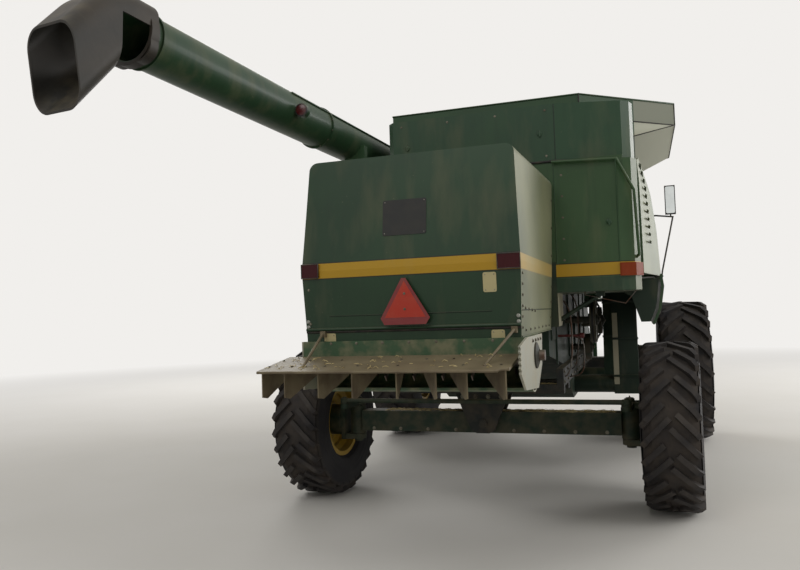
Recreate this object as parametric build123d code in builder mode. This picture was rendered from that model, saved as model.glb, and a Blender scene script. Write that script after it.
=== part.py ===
from build123d import *
import math
import os

os.makedirs("parts", exist_ok=True)

# Axes: X runs to the machine's right, Y forward, Z up from the ground, in millimetres

# Running gear
wheelbase = 3600
rear_axle_y = -998
front_axle_y = rear_axle_y + wheelbase
front_track = 3860
rear_track = 3300
running_gap = 0.3
pin_gap = 0.05

# Front tyres and rims
front_tyre_radius = 905
front_tyre_width = 622
front_bead_radius = 406
front_lug_pairs = 23

# Rear tyres and rims
rear_tyre_radius = 725
rear_tyre_width = 467
rear_bead_radius = 330
rear_lug_pairs = 28

# Tread lugs, as shares of the tyre's radius, and the dished discs of the rims
lug_height_share = 0.048
lug_width_share = 0.06
front_disc_x = -100
rear_disc_x = -60
rim_flange = 26
rim_sheet = 14
rim_well_depth = 48
rim_half_share = 0.38

# Front axle
front_beam_depth = 220
front_beam_z = (930, 1080)
final_drive_x = 1180
final_drive_width = 320
final_drive_pad_z = 1240

# Rear axle and steering
kingpin_x = 1300
kingpin_radius = 42
axle_eye_radius = 80
axle_eye_z = (600, 870)
rear_beam_depth = 180
rear_beam_z = (635, 830)
pivot_pin_radius = 40
knuckle_ear_thickness = 50
knuckle_gap = 5
hub_drum_radius = 150
steering_arm_length = 300
tie_rod_radius = 22
tie_pin_radius = 20
rest_steer_deg = 3.5

# Chassis frame
frame_rail_width = 60
frame_rail_z = (1080, 1240)
body_half_width = 700

# Threshing and separating body
body_top_z = 2150
body_front_y = rear_axle_y + 3950
body_rear_y = rear_axle_y - 700
body_step_y = rear_axle_y + 3440
flange_half_width = 790
shoe_bottom_z = 800
shoe_rear_y = rear_axle_y + 1300
shoe_front_y = rear_axle_y + 2500

# Straw hood over the discharge
hood_rear_y = rear_axle_y - 2297
hood_front_y = rear_axle_y - 750
hood_bottom_z = 1600
hood_stripe_z = 2076
hood_top_z = 2837
hood_half_width = 746
hood_bottom_inset = 18
hood_top_inset = 42
hood_top_lean = 108
hood_bottom_lean = 27
hood_front_flare = 40
hood_corner_radius = 60
panel_wall = 16

# Chopper under the hood
chopper_y = rear_axle_y - 1980
chopper_z = 1470
chopper_radius = 190
chopper_shaft_radius = 35
chopper_plate_half_width = 770
chopper_plate_thickness = 14

# Spreading board behind the chopper
board_front_y = rear_axle_y - 2284
board_rear_y = rear_axle_y - 2740
board_front_z = 1500
board_rear_z = 1440
board_left_x = -860
board_right_x = 720
board_corner_x = 660
board_thickness = 16
# Columns: x of a vane at its front and at its rear
vane_fan = (
    (-830, -850), (-630, -695), (-400, -465), (-205, -240), (-25, 45), (120, 290), (290, 475), (510, 700),
)
vane_thickness = 8
vane_drop = 170

# Rear deck and engine bay
deck_z = 1900
brace_y = rear_axle_y - 560
brace_radius = 18
bay_rear_y = rear_axle_y - 750
bay_half_width = 1450
bay_top_z = 2960
engine_cover_z = (2985, 3460)
exhaust_x = -760
exhaust_y = rear_axle_y + 60
exhaust_z = 2700
exhaust_top_z = 3080
exhaust_radius = 75
service_deck_z = 2930
top_deck_z = 3134
engine_cover_left_x = -630
engine_cover_front_y = rear_axle_y + 350
engine_cover_kink_x = 818
engine_cover_corner_x = 1344
engine_cover_corner_step = 150

# Side panels over the bay and the tank; the rear corner takes only a share of the flare
corner_flare_share = 0.12
side_rear_y = rear_axle_y - 150
side_front_y = rear_axle_y + 3300
side_top_z = 3150
guard_x = (800, 1297, 1422)
guard_z = (2180, 2690, bay_top_z + 8)
guard_stand = 30
guard_radius = 12
louver_y = (rear_axle_y + 320, rear_axle_y + 1080)
louver_z = (2520, 2900)
louver_height = 14
louver_count = 12
side_outline = ((1470, 3150), (1560, 2800), (1600, 2450), (1620, 2036))

# Side shields, hinged along their upper edge
shield_top_z = 2015
shield_front_y = rear_axle_y + 2600
shield_outline = ((1620, 2015), (1630, 1930), (1600, 1740), (1545, 1610))
shield_wall = 24
hinge_pin_radius = 6
hinge_barrel_radius = 11
hinge_clearance = 0.3
shield_hinge_z = 2022
hinge_width = 100

# Grain tank
tank_rear_y = rear_axle_y + 400
tank_front_y = rear_axle_y + 3280
tank_left_x = -930
tank_right_x = 1430
tank_bottom_z = 2150
tank_wall = 16
tank_floor_z = 2900
sump_x = (180, 420)
sump_z = 2230
tank_top_z = 3430
extension_top_z = 3820
extension_rear_y = rear_axle_y + 300
extension_chamfer_x = 954
extension_right_x = 1840
extension_corner_y = rear_axle_y + 1080
extension_lip_z = 3600

# Belts of the side drives
belt_width = 18
belt_thickness = 14
belt_lift = 7

# Unloading auger, folded back along the left side
auger_pivot_x = -1200
auger_pivot_y = rear_axle_y + 2000
auger_pivot_z = 3490
auger_radius = 187
auger_fold_x = -1734
auger_end_y = rear_axle_y - 2780
auger_end_z = 3700
auger_turret_radius = 215
spout_width = 402
spout_corner_radius = 110
spout_bend_radius = 300
spout_bend_deg = 50
spout_tail = 423
spout_trim_deg = 40
auger_saddle_y = rear_axle_y + 150
auger_swivel_z = 3230
auger_lamp_radius = 58
auger_lamp_x = -1304
auger_lamp_y = rear_axle_y - 1090
auger_lamp_z = 3580
conduit_radius = 9
spout_wall = 12
spout_clamp_length = 60
spout_lead = 80
arch_length = 240
arch_depth = 220

# Feeder house
feeder_pivot_y = rear_axle_y + 4100
feeder_pivot_z = 1640
feeder_half_width = 650
feeder_rear_y = rear_axle_y + 4060
feeder_mouth_y = rear_axle_y + 5420
feeder_rear_z = (1260, 1790)
feeder_mouth_z = (560, 1130)
feeder_wall = 16
feeder_frame_depth = 90
feeder_shaft_radius = 40
feeder_drum_y = rear_axle_y + 5230
feeder_drum_z = 850
feeder_drum_radius = 106
feeder_axle_radius = 25
chain_x = (-520, 0, 520)
chain_width = 24
chain_thickness = 19
chain_front_radius = feeder_drum_radius + running_gap + chain_thickness
chain_rear_radius = 72
slat_count = 9
header_drive_radius = 17.5
header_drive_y = rear_axle_y + 5290
header_drive_z = 990
header_lock_radius = 20
header_lock_x = 680
header_lock_z = 540
lift_x = 450
lift_base_y = rear_axle_y + 3775
lift_base_z = 850
lift_eye_y = rear_axle_y + 4900
lift_eye_z = 745
lift_barrel_radius = 45
lift_rod_radius = 30
lift_pin_radius = 16
lift_eye_bore = 24.5

# Cab
cab_half_width = 850
cab_rear_y = rear_axle_y + 3480
cab_front_y = rear_axle_y + 4950
cab_floor_z = 1880
cab_floor_thickness = 50
cab_roof_z = 3620
roof_thickness = 170
cab_post = 70
cab_rear_wall = 40
cab_front_wall = 60
window_z = (1940, 3560)
window_rear_y = rear_axle_y + 3600
quarter_glass_y = rear_axle_y + 4430
rear_window_z = (2700, 3500)
rear_window_half_width = 700
glass_thickness = 8
glass_seat = 0.3
door_rear_y = rear_axle_y + 3600
door_front_y = rear_axle_y + 4380
door_z = (1960, 3560)
door_thickness = 50
door_gap = 5
door_latch_gap = 8
door_frame_width = 60
door_hinge_x = -862
door_hinge_z = (2250, 3270)
roof_overhang = 40

# Driver's station
steering_wheel_radius = 190

# Platforms, ladder and mirrors
platform_z = (1850, 1880)
platform_front_y = rear_axle_y + 5050
ladder_y = (rear_axle_y + 4600, rear_axle_y + 5040)
ladder_foot_z = 480
mirror_x = 1900
mirror_width = 146
mirror_arm_x = 1693
mirror_stay_x = 1751
mirror_y = rear_axle_y + 4450
mirror_z = (3087, 3511)
mirror_arm_z = 3050
mirror_stay_z = 2269
rail_radius = 16
rail_inset = 20
rail_top_z = 2850
rail_middle_z = 2400
deck_right_x = 1640
deck_left_x = -1610


def block(x_span, y_span, z_span, mode=Mode.ADD):
    """A rectangular piece between two limits on each axis."""
    with Locations((sum(x_span) / 2, sum(y_span) / 2, sum(z_span) / 2)):
        Box(x_span[1] - x_span[0], y_span[1] - y_span[0], z_span[1] - z_span[0], mode=mode)


def bar(start, end, radius, mode=Mode.ADD):
    """A round bar between two points."""
    line = Vector(*end) - Vector(*start)
    with Locations(Plane(origin=start, z_dir=line)):
        Cylinder(radius, line.length, align=(Align.CENTER, Align.CENTER, Align.MIN), mode=mode)


def bent_rod(points, radius, mode=Mode.ADD):
    """A round rod or tube's outside along straight runs, mitred where they meet."""
    with BuildLine() as path:
        Polyline(*points)
    with BuildSketch(Plane(origin=path.line @ 0, z_dir=path.line % 0)) as ring:
        Circle(radius)
    sweep(ring.sketch, path=path.line, transition=Transition.RIGHT, mode=mode)


def across(points, x_span, mode=Mode.ADD):
    """A side view of (y, z) points, carried across from one x to the other."""
    with BuildSketch(Plane.YZ.offset(x_span[0])) as outline:
        with BuildLine():
            Polyline(*points, close=True)
        make_face()
    extrude(outline.sketch, amount=x_span[1] - x_span[0], mode=mode)


def along(points, y_span, mode=Mode.ADD):
    """A rear view of (x, z) points, carried forward from one y to the other."""
    with BuildSketch(Plane.XZ.offset(-y_span[0])) as outline:
        with BuildLine():
            Polyline(*points, close=True)
        make_face()
    extrude(outline.sketch, amount=-(y_span[1] - y_span[0]), mode=mode)


def upward(points, z_span, mode=Mode.ADD):
    """A plan of (x, y) points, carried up from one z to the other."""
    with BuildSketch(Plane.XY.offset(z_span[0])) as outline:
        with BuildLine():
            Polyline(*points, close=True)
        make_face()
    extrude(outline.sketch, amount=z_span[1] - z_span[0], mode=mode)


def strip_between(outlines):
    """A sheet lofted between two rear views. Each outline is (y, points), its points (x, z)."""
    with BuildPart() as strip:
        for y, points in outlines:
            with BuildSketch(Plane.XZ.offset(-y)):
                with BuildLine():
                    Polyline(*points, close=True)
                make_face()
        loft(ruled=True)
    return strip.part


def write(node, label):
    """Labels a finished piece and writes its file."""
    node.part.label = label
    export_step(node.part, f"parts/{label}.step")


def make_lug(radius, crown, reach_from, reach_to, row):
    """One slanted tread bar, standing at the top of a tyre about the X axis."""
    lug_height = radius - crown
    slant = math.radians(45)
    corner = radius * lug_width_share / 2 * math.cos(slant)
    top = []
    root = []
    # Columns: share of the reach, share of the lug's height, depth of its root below the crown
    for share, rise, sink in ((0.0, 1.0, 14), (0.8, 0.92, 26), (1.0, 0.2, 75)):
        reach = reach_from + (reach_to - reach_from) * share
        drop = reach * math.sin(slant)
        top.append((reach, math.sqrt((crown + lug_height * rise) ** 2 - (drop + corner) ** 2)))
        root.append((reach, math.sqrt((crown - sink) ** 2 - drop**2)))
    heading = Plane(
        origin=(0, 0, 0),
        x_dir=(row * math.cos(slant), -math.sin(slant), 0),
        z_dir=(-math.sin(slant), -row * math.cos(slant), 0),
    )
    with BuildPart() as lug:
        with BuildSketch(heading) as face:
            with BuildLine():
                Polyline(*top, *reversed(root), close=True)
            make_face()
        extrude(amount=radius * lug_width_share / 2, both=True)
    return lug.part


def make_tyre(radius, width, bead_radius, lug_starts, lug_count):
    """A hollow drive tyre about the X axis, with two staggered rows of slanted lugs."""
    crown = radius * (1 - lug_height_share)
    shoulder_x = width * 0.455
    shoulder_r = radius - (radius - crown) * 2.2
    bead_x = width * rim_half_share
    bead_r = bead_radius + rim_flange + 4
    wall = width * 0.085
    side_r = (bead_r + shoulder_r) / 2
    inner_x = shoulder_x - wall
    inner_r = shoulder_r - wall * 0.6
    pitch = 360 / lug_count
    lug_reach = width / 2 * math.sqrt(2) - radius * lug_width_share / 2
    lugs = []
    for row in (-1, 1):
        for turn, reach_from in enumerate(lug_starts):
            lug = make_lug(radius, crown, reach_from, lug_reach, row)
            first = pitch * (turn + (0.5 if row > 0 else 0))
            step = pitch * len(lug_starts)
            copies = lug_count // len(lug_starts)
            lugs.append((lug, [Location((0, 0, 0), (first + step * i, 0, 0)) for i in range(copies)]))
    with BuildPart() as tyre:
        with BuildSketch(Plane.XZ):
            with BuildLine():
                Polyline(
                    (0, crown), (width * 0.3, crown - 6), (shoulder_x, shoulder_r),
                    (width / 2, side_r + (shoulder_r - side_r) * 0.35),
                    (width * 0.494, side_r + (bead_r - side_r) * 0.45),
                    (bead_x, bead_r), (bead_x, bead_radius), (bead_x - wall, bead_radius),
                    (width / 2 - wall, side_r), (inner_x, inner_r), (0, crown - wall * 1.2),
                    close=True,
                )
            make_face()
            mirror(about=Plane.YZ)
        revolve(axis=Axis.X)
        for lug, spots in lugs:
            with Locations(*spots):
                add(lug)
    return tyre.part


def make_rim(bead_radius, tyre_width, disc_x, hub_radius, cap_radius, bolt_count):
    """A dished steel wheel about the X axis, with its inboard hub face at disc_x."""
    half = tyre_width * rim_half_share + running_gap
    seat = bead_radius - running_gap
    lip = bead_radius + rim_flange
    well = bead_radius - rim_well_depth
    ledge = seat - 6
    bolt_ring = hub_radius * 0.78
    # Columns: x and radius of the tyre side of the rolled section
    outer = (
        (-half - 10, lip), (-half, lip), (-half, seat), (-half + 60, ledge), (-half + 95, well),
        (half - 95, well), (half - 60, ledge), (half, seat), (half, lip), (half + 10, lip),
    )
    # Columns: x and radius of the air side
    inner = (
        (half + 10, seat - rim_sheet), (half - 66, ledge - rim_sheet), (half - 101, well - rim_sheet),
        (-half + 101, well - rim_sheet), (-half + 66, ledge - rim_sheet), (-half - 10, seat - rim_sheet),
    )
    # Columns: x from the hub face and radius, up the inboard side of the dish and down its outboard side
    dish = (
        (0, 0), (0, hub_radius), (30, hub_radius + 30), (30, well - 60), (12, well - rim_sheet - 4),
        (12, well - 2), (32, well - 2), (32, well - rim_sheet - 8), (50, well - 70), (50, hub_radius + 40),
        (18, hub_radius - 6), (18, 0),
    )
    with BuildPart() as rim:
        with BuildSketch(Plane.XZ):
            with BuildLine():
                Polyline(*outer, *inner, close=True)
            make_face()
        revolve(axis=Axis.X)
        with BuildSketch(Plane.XZ):
            with BuildLine():
                Polyline(*[(disc_x + x, r) for x, r in dish], close=True)
            make_face()
        revolve(axis=Axis.X)
        for i in range(bolt_count):
            turn = math.radians(360 / bolt_count * i)
            y, z = bolt_ring * math.cos(turn), bolt_ring * math.sin(turn)
            bar((disc_x + 17, y, z), (disc_x + 44, y, z), 15)
        bar((disc_x + 17, 0, 0), (disc_x + 62, 0, 0), cap_radius)
    return rim.part


# Front wheels
front_tyre_form = make_tyre(front_tyre_radius, front_tyre_width, front_bead_radius, (0,), front_lug_pairs)
front_rim_form = make_rim(front_bead_radius, front_tyre_width, front_disc_x, 190, 95, 10)
for side, side_name in ((-1, "left"), (1, "right")):
    centre = Location((side * front_track / 2, front_axle_y, front_tyre_radius))
    with BuildPart() as front_tyre:
        with Locations(centre):
            add(front_tyre_form)
    write(front_tyre, f"front_tyre_{side_name}")
    with BuildPart() as front_rim:
        with Locations(centre):
            add(front_rim_form if side > 0 else front_rim_form.mirror(Plane.YZ))
    write(front_rim, f"front_rim_{side_name}")

# Front axle: beam, final drives and wheel hubs
hub_face_x = front_track / 2 + front_disc_x - running_gap
with BuildPart() as front_axle:
    beam_y = (front_axle_y - front_beam_depth / 2, front_axle_y + front_beam_depth / 2)
    block((-final_drive_x - 20, final_drive_x + 20), beam_y, front_beam_z)
    for side in (-1, 1):
        inner_x = side * final_drive_x
        outer_x = side * (final_drive_x + final_drive_width)
        with BuildSketch(Plane.YZ.offset(min(inner_x, outer_x))):
            with Locations((front_axle_y, front_tyre_radius + 45)):
                SlotCenterToCenter(170, 400, rotation=90)
        extrude(amount=final_drive_width)
        block(
            sorted((side * 1280, side * 1380)), (front_axle_y - 60, front_axle_y + 60),
            (final_drive_pad_z - 40, final_drive_pad_z),
        )
        bar(
            (outer_x, front_axle_y, front_tyre_radius),
            (side * hub_face_x, front_axle_y, front_tyre_radius), 160,
        )
        bar(
            (outer_x - side * 2, front_axle_y, front_tyre_radius),
            (side * (hub_face_x - 60), front_axle_y, front_tyre_radius), 185,
        )
    for x in (-lift_x, lift_x):
        for ear in (-74, 50):
            across(
                (
                    (beam_y[1] - 2, front_beam_z[0]), (beam_y[1] - 2, front_beam_z[1]),
                    (beam_y[1] + 30, front_beam_z[1]),
                    (lift_base_y + 45, lift_base_z + 40), (lift_base_y + 45, lift_base_z - 45),
                    (lift_base_y - 40, lift_base_z - 45), (beam_y[1] - 30, front_beam_z[0]),
                ),
                (x + ear, x + ear + 24),
            )
        bar((x - 72, lift_base_y, lift_base_z), (x + 72, lift_base_y, lift_base_z), 20)
write(front_axle, "front_axle")

# Rear wheels, knuckles and tie rod, all standing at the parked steering angle
rear_tyre_form = make_tyre(rear_tyre_radius, rear_tyre_width, rear_bead_radius, (0, 70), rear_lug_pairs)
rear_rim_form = make_rim(rear_bead_radius, rear_tyre_width, rear_disc_x, 165, 70, 8)
wheel_offset = rear_track / 2 - kingpin_x
drum_face_x = wheel_offset + rear_disc_x - running_gap
ear_top_z = axle_eye_z[1] + knuckle_gap
ear_bottom_z = axle_eye_z[0] - knuckle_gap
arm_top_z = ear_top_z + knuckle_ear_thickness
with BuildPart() as knuckle_form:
    for z in (ear_top_z, ear_bottom_z - knuckle_ear_thickness):
        upward(((0, -75), (140, -105), (140, 105), (0, 75)), (z, z + knuckle_ear_thickness))
        bar((0, 0, z), (0, 0, z + knuckle_ear_thickness), 75)
    block((98, 142), (-108, 108), (ear_bottom_z - knuckle_ear_thickness, arm_top_z))
    bar((140, 0, rear_tyre_radius), (drum_face_x, 0, rear_tyre_radius), hub_drum_radius)
    bar((0, 0, ear_bottom_z - knuckle_ear_thickness - 25), (0, 0, arm_top_z + 25), kingpin_radius)
    upward(
        ((-42, 0), (-38, -steering_arm_length), (38, -steering_arm_length), (42, 0)),
        (ear_top_z, arm_top_z),
    )
    bar((0, -steering_arm_length, ear_top_z), (0, -steering_arm_length, arm_top_z), 38)
    bar((0, -steering_arm_length, ear_top_z), (0, -steering_arm_length, arm_top_z + 62), tie_pin_radius)
for side, side_name in ((-1, "left"), (1, "right")):
    kingpin = Location((side * kingpin_x, rear_axle_y, 0), (0, 0, -rest_steer_deg))
    wheel_spot = Location((side * wheel_offset, 0, rear_tyre_radius))
    with BuildPart() as knuckle:
        with Locations(kingpin):
            add(knuckle_form.part if side > 0 else knuckle_form.part.mirror(Plane.YZ))
    write(knuckle, f"knuckle_{side_name}")
    with BuildPart() as rear_tyre:
        with Locations(kingpin * wheel_spot):
            add(rear_tyre_form)
    write(rear_tyre, f"rear_tyre_{side_name}")
    with BuildPart() as rear_rim:
        with Locations(kingpin * wheel_spot):
            add(rear_rim_form if side > 0 else rear_rim_form.mirror(Plane.YZ))
    write(rear_rim, f"rear_rim_{side_name}")

steer = math.radians(rest_steer_deg)
tie_shift_x = -steering_arm_length * math.sin(steer)
tie_y = rear_axle_y - steering_arm_length * math.cos(steer)
tie_z = arm_top_z + 28
with BuildPart() as tie_rod:
    for x in (-kingpin_x + tie_shift_x, kingpin_x + tie_shift_x):
        bar((x, tie_y, tie_z - 23), (x, tie_y, tie_z + 23), 38)
    bar(
        (-kingpin_x + tie_shift_x + 20, tie_y, tie_z), (kingpin_x + tie_shift_x - 20, tie_y, tie_z),
        tie_rod_radius,
    )
    for x in (-kingpin_x + tie_shift_x, kingpin_x + tie_shift_x):
        bar((x, tie_y, tie_z - 24), (x, tie_y, tie_z + 24), tie_pin_radius + pin_gap, Mode.SUBTRACT)
write(tie_rod, "tie_rod")

# Rear axle: beam with an eye for each kingpin and a bush for the centre pivot
with BuildPart() as rear_axle:
    beam_y = (rear_axle_y - rear_beam_depth / 2, rear_axle_y + rear_beam_depth / 2)
    block((-kingpin_x + 75, kingpin_x - 75), beam_y, rear_beam_z)
    for side in (-1, 1):
        x = side * kingpin_x
        bar((x, rear_axle_y, axle_eye_z[0]), (x, rear_axle_y, axle_eye_z[1]), axle_eye_radius)
        bar(
            (x, rear_axle_y, axle_eye_z[0] - 1), (x, rear_axle_y, axle_eye_z[1] + 1),
            kingpin_radius + pin_gap, Mode.SUBTRACT,
        )
    pivot_z = (rear_beam_z[0] + rear_beam_z[1]) / 2
    bar((0, beam_y[0] - 30, pivot_z), (0, beam_y[1] + 30, pivot_z), 78)
    bar((0, beam_y[0] - 40, pivot_z), (0, beam_y[1] + 40, pivot_z), pivot_pin_radius + pin_gap, Mode.SUBTRACT)
write(rear_axle, "rear_axle")

# Chassis frame: side rails, cross members and the hanger of the rear axle
rail_y = (rear_axle_y - 260, front_axle_y + 200)
rail_x = (body_half_width, body_half_width + frame_rail_width)
with BuildPart() as chassis_frame:
    for side in (-1, 1):
        block(sorted((side * rail_x[0], side * rail_x[1])), rail_y, frame_rail_z)
    for y in (rail_y[0] + 60, rear_axle_y + 200):
        block((-rail_x[1], rail_x[1]), (y - 60, y + 60), (frame_rail_z[0] - 60, frame_rail_z[0] + 20))
    for y_span in ((beam_y[0] - 75, beam_y[0] - 35), (beam_y[1] + 35, beam_y[1] + 75)):
        along(
            (
                (-260, frame_rail_z[0] - 40), (260, frame_rail_z[0] - 40), (110, pivot_z - 60),
                (60, pivot_z - 90), (-60, pivot_z - 90), (-110, pivot_z - 60),
            ),
            y_span,
        )
    bar((0, beam_y[0] - 90, pivot_z), (0, beam_y[1] + 90, pivot_z), pivot_pin_radius)
write(chassis_frame, "chassis_frame")

# Threshing and separating body, a closed shell down to the cleaning shoe
body_outline = (
    (body_rear_y, body_top_z), (body_rear_y, 1380), (rear_axle_y + 300, 1120 + 125),
    (shoe_rear_y, shoe_bottom_z),
    (shoe_front_y, shoe_bottom_z), (rear_axle_y + 3050, 1000), (rear_axle_y + 3330, 1190),
    (body_front_y, 1250),
    (body_front_y, platform_z[0]), (body_step_y, platform_z[0]), (body_step_y, body_top_z),
)
with BuildPart() as separator_body:
    across(body_outline, (-body_half_width, body_half_width))
    with BuildSketch(Plane.YZ.offset(-body_half_width + panel_wall)) as hollow:
        with BuildLine():
            Polyline(*body_outline, close=True)
        make_face()
        offset(amount=-panel_wall, kind=Kind.INTERSECTION, mode=Mode.REPLACE)
    extrude(hollow.sketch, amount=2 * (body_half_width - panel_wall), mode=Mode.SUBTRACT)
    block(
        (-flange_half_width, flange_half_width), (bay_rear_y, body_rear_y + 1),
        (hood_bottom_z + 20, body_top_z),
    )
    block(
        (-body_half_width + 20, body_half_width - 20), (bay_rear_y - 1, body_rear_y),
        (hood_bottom_z + 70, body_top_z - 40), Mode.SUBTRACT,
    )
    for side in (-1, 1):
        across(
            (
                (body_front_y - 2, feeder_pivot_z - 110), (body_front_y - 2, feeder_pivot_z + 110),
                (feeder_pivot_y + 20, feeder_pivot_z + 70), (feeder_pivot_y + 70, feeder_pivot_z),
                (feeder_pivot_y + 20, feeder_pivot_z - 70),
            ),
            sorted((side * (feeder_half_width + 10), side * (feeder_half_width + 40))),
        )
    bar(
        (-feeder_half_width - 60, feeder_pivot_y, feeder_pivot_z),
        (feeder_half_width + 60, feeder_pivot_y, feeder_pivot_z), feeder_shaft_radius,
    )
    for x in chain_x:
        bar(
            (x - 8, feeder_pivot_y, feeder_pivot_z), (x + 8, feeder_pivot_y, feeder_pivot_z),
            chain_rear_radius - chain_thickness - 1,
        )
    for side in (-1, 1):
        bar(
            (side * (body_half_width - 5), brace_y, 1620),
            (side * 1120, brace_y, deck_z - 0.3 - brace_radius * 1.4), brace_radius,
        )
        block(sorted((side * 1085, side * 1155)), (brace_y - 30, brace_y + 30), (deck_z - 40, deck_z - 0.3))
write(separator_body, "separator_body")


def hood_form(wall):
    """The hood's outer form, or with a wall its hollow, open below."""
    half_low = hood_half_width - hood_bottom_inset - wall
    half_mid = hood_half_width - wall
    half_top = hood_half_width - hood_top_inset - wall
    top = hood_top_z - wall
    low = hood_bottom_z if wall == 0 else hood_bottom_z - 50
    radius = hood_corner_radius - wall
    lean = hood_rear_y + wall
    with BuildPart() as form:
        for y, flare in ((hood_rear_y - 60, 0), (hood_front_y, hood_front_flare)):
            with BuildSketch(Plane.XZ.offset(-y)):
                with BuildLine():
                    Polyline(
                        (-half_low, low), (-half_mid - flare * 0.2, hood_stripe_z),
                        (-half_top - flare * 2, top),
                        (half_top + flare * 2, top), (half_mid + flare * 0.2, hood_stripe_z),
                        (half_low, low), close=True,
                    )
                make_face()
                fillet(vertices().group_by(Axis.Y)[-1], radius)
        loft(ruled=True)
        across(
            (
                (lean, hood_stripe_z), (lean + hood_top_lean, hood_top_z),
                (lean + hood_top_lean, hood_top_z + 50),
                (lean - 400, hood_top_z + 50), (lean - 400, low - 50), (lean + hood_bottom_lean, low - 50),
                (lean + hood_bottom_lean, hood_bottom_z),
            ),
            (-1000, 1000), Mode.SUBTRACT,
        )
    return form.part


def hood_face_y(z):
    """Y of the hood's rear face at a height."""
    if z > hood_stripe_z:
        return hood_rear_y + hood_top_lean * (z - hood_stripe_z) / (hood_top_z - hood_stripe_z)
    return hood_rear_y + hood_bottom_lean * (hood_stripe_z - z) / (hood_stripe_z - hood_bottom_z)


# Straw hood, open below over the chopper
with BuildPart() as straw_hood:
    add(hood_form(0))
    add(hood_form(panel_wall), mode=Mode.SUBTRACT)
write(straw_hood, "straw_hood")

# Chopper housing: two toothed end plates, a rear panel and a curved knife pan
tooth_pitch = 32
tooth_depth = 24
tooth_count = 5
plate_rear_y = rear_axle_y - 2600
teeth = []
for i in range(tooth_count):
    teeth += [
        (plate_rear_y, 1560 - tooth_pitch * i),
        (plate_rear_y + tooth_depth, 1560 - tooth_pitch * (i + 0.5)),
    ]
plate_front = (
    (rear_axle_y - 1900, 1250), (rear_axle_y - 1690, 1390), (rear_axle_y - 1640, hood_bottom_z),
)
right_plate = (
    (rear_axle_y - 2320, hood_bottom_z), *teeth, (rear_axle_y - 2590, 1400), (rear_axle_y - 2420, 1290),
    *plate_front,
)
left_plate = ((board_front_y + 8, hood_bottom_z), (board_front_y + 8, 1276), *plate_front)
pan_radius = chopper_radius + 35
with BuildPart() as chopper_housing:
    for side, outline in ((-1, left_plate), (1, right_plate)):
        plate_x = sorted(
            (side * (chopper_plate_half_width - chopper_plate_thickness), side * chopper_plate_half_width)
        )
        across(outline, plate_x)
        bar(
            (side * (chopper_plate_half_width - 20), chopper_y, chopper_z),
            (side * (chopper_plate_half_width + 20), chopper_y, chopper_z),
            chopper_shaft_radius + pin_gap, Mode.SUBTRACT,
        )
        block(
            sorted((side * 705, side * 757)), (board_front_y, rear_axle_y - 1660),
            (hood_bottom_z - 12, hood_bottom_z),
        )
    inner_half = chopper_plate_half_width - chopper_plate_thickness + 1
    block((-inner_half, inner_half), (board_front_y, board_front_y + 14), (board_front_z - 20, hood_bottom_z))
    with BuildSketch(Plane.YZ.offset(-inner_half)) as pan:
        with Locations((chopper_y, chopper_z)):
            Circle(pan_radius + 12)
            Circle(pan_radius, mode=Mode.SUBTRACT)
        with Locations((chopper_y, chopper_z + 200)):
            Rectangle(800, 400, mode=Mode.SUBTRACT)
        with Locations((chopper_y - 300, chopper_z)):
            Rectangle(400, 600, mode=Mode.SUBTRACT)
    extrude(pan.sketch, amount=2 * inner_half)
write(chopper_housing, "chopper_housing")

# Chopper rotor: a drum on its shaft, with rows of swinging knives standing out
with BuildPart() as chopper_rotor:
    shaft_half = chopper_plate_half_width + 60
    bar((-shaft_half, chopper_y, chopper_z), (shaft_half, chopper_y, chopper_z), chopper_shaft_radius)
    bar((-700, chopper_y, chopper_z), (700, chopper_y, chopper_z), 75)
    for row in range(4):
        turn = math.radians(90 * row + 45)
        y, z = math.cos(turn), math.sin(turn)
        for i in range(7):
            x = -630 + 200 * i + (50 if row % 2 else 0)
            with Locations(Plane(origin=(x, chopper_y, chopper_z), x_dir=(1, 0, 0), z_dir=(0, y, z))):
                Box(8, 50, chopper_radius, align=(Align.CENTER, Align.CENTER, Align.MIN))
write(chopper_rotor, "chopper_rotor")

# Spreading board with its vanes and struts
board_slope = (board_front_z - board_rear_z) / (board_front_y - board_rear_y)
with BuildPart() as tailboard:
    across(
        (
            (board_front_y - 0.3, board_front_z), (board_rear_y, board_rear_z),
            (board_rear_y, board_rear_z - board_thickness),
            (board_front_y - 0.3, board_front_z - board_thickness),
        ),
        (board_left_x, board_right_x),
    )
    block(
        (board_corner_x, board_right_x + 1), (board_rear_y - 1, board_rear_y + 45),
        (board_rear_z - 60, board_rear_z + 40), Mode.SUBTRACT,
    )
    for front_x, rear_x in vane_fan:
        front = Vector(front_x, board_front_y - 60, 0)
        rear = Vector(rear_x, board_rear_y + 60, 0)
        run = (rear - front).normalized()
        reach = (rear - front).length
        top_front_z = board_front_z - board_thickness + 1 - 60 * board_slope
        top_rear_z = board_rear_z - board_thickness + 1 + 60 * board_slope
        with BuildSketch(Plane(origin=front, x_dir=run, z_dir=run.cross(Vector(0, 0, 1)))) as vane:
            with BuildLine():
                Polyline(
                    (0, top_front_z), (reach, top_rear_z), (reach, board_rear_z - vane_drop),
                    (reach - 55, board_rear_z - vane_drop - 10), (0, board_rear_z - 60),
                    close=True,
                )
            make_face()
        extrude(vane.sketch, amount=vane_thickness)
    # Columns: x at the hood, x at the board
    for hood_x, board_x in ((-600, -600), (690, 560)):
        across(
            (
                (hood_face_y(1630) - 0.3, 1630), (hood_face_y(1670) - 0.3, 1670),
                (hood_rear_y - 12, 1670), (hood_rear_y - 12, 1630),
            ),
            (hood_x - 18, hood_x + 18),
        )
        bar((hood_x, hood_rear_y - 10, 1650), (board_x, rear_axle_y - 2620, board_rear_z + 12), 9)
write(tailboard, "tailboard")

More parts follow.
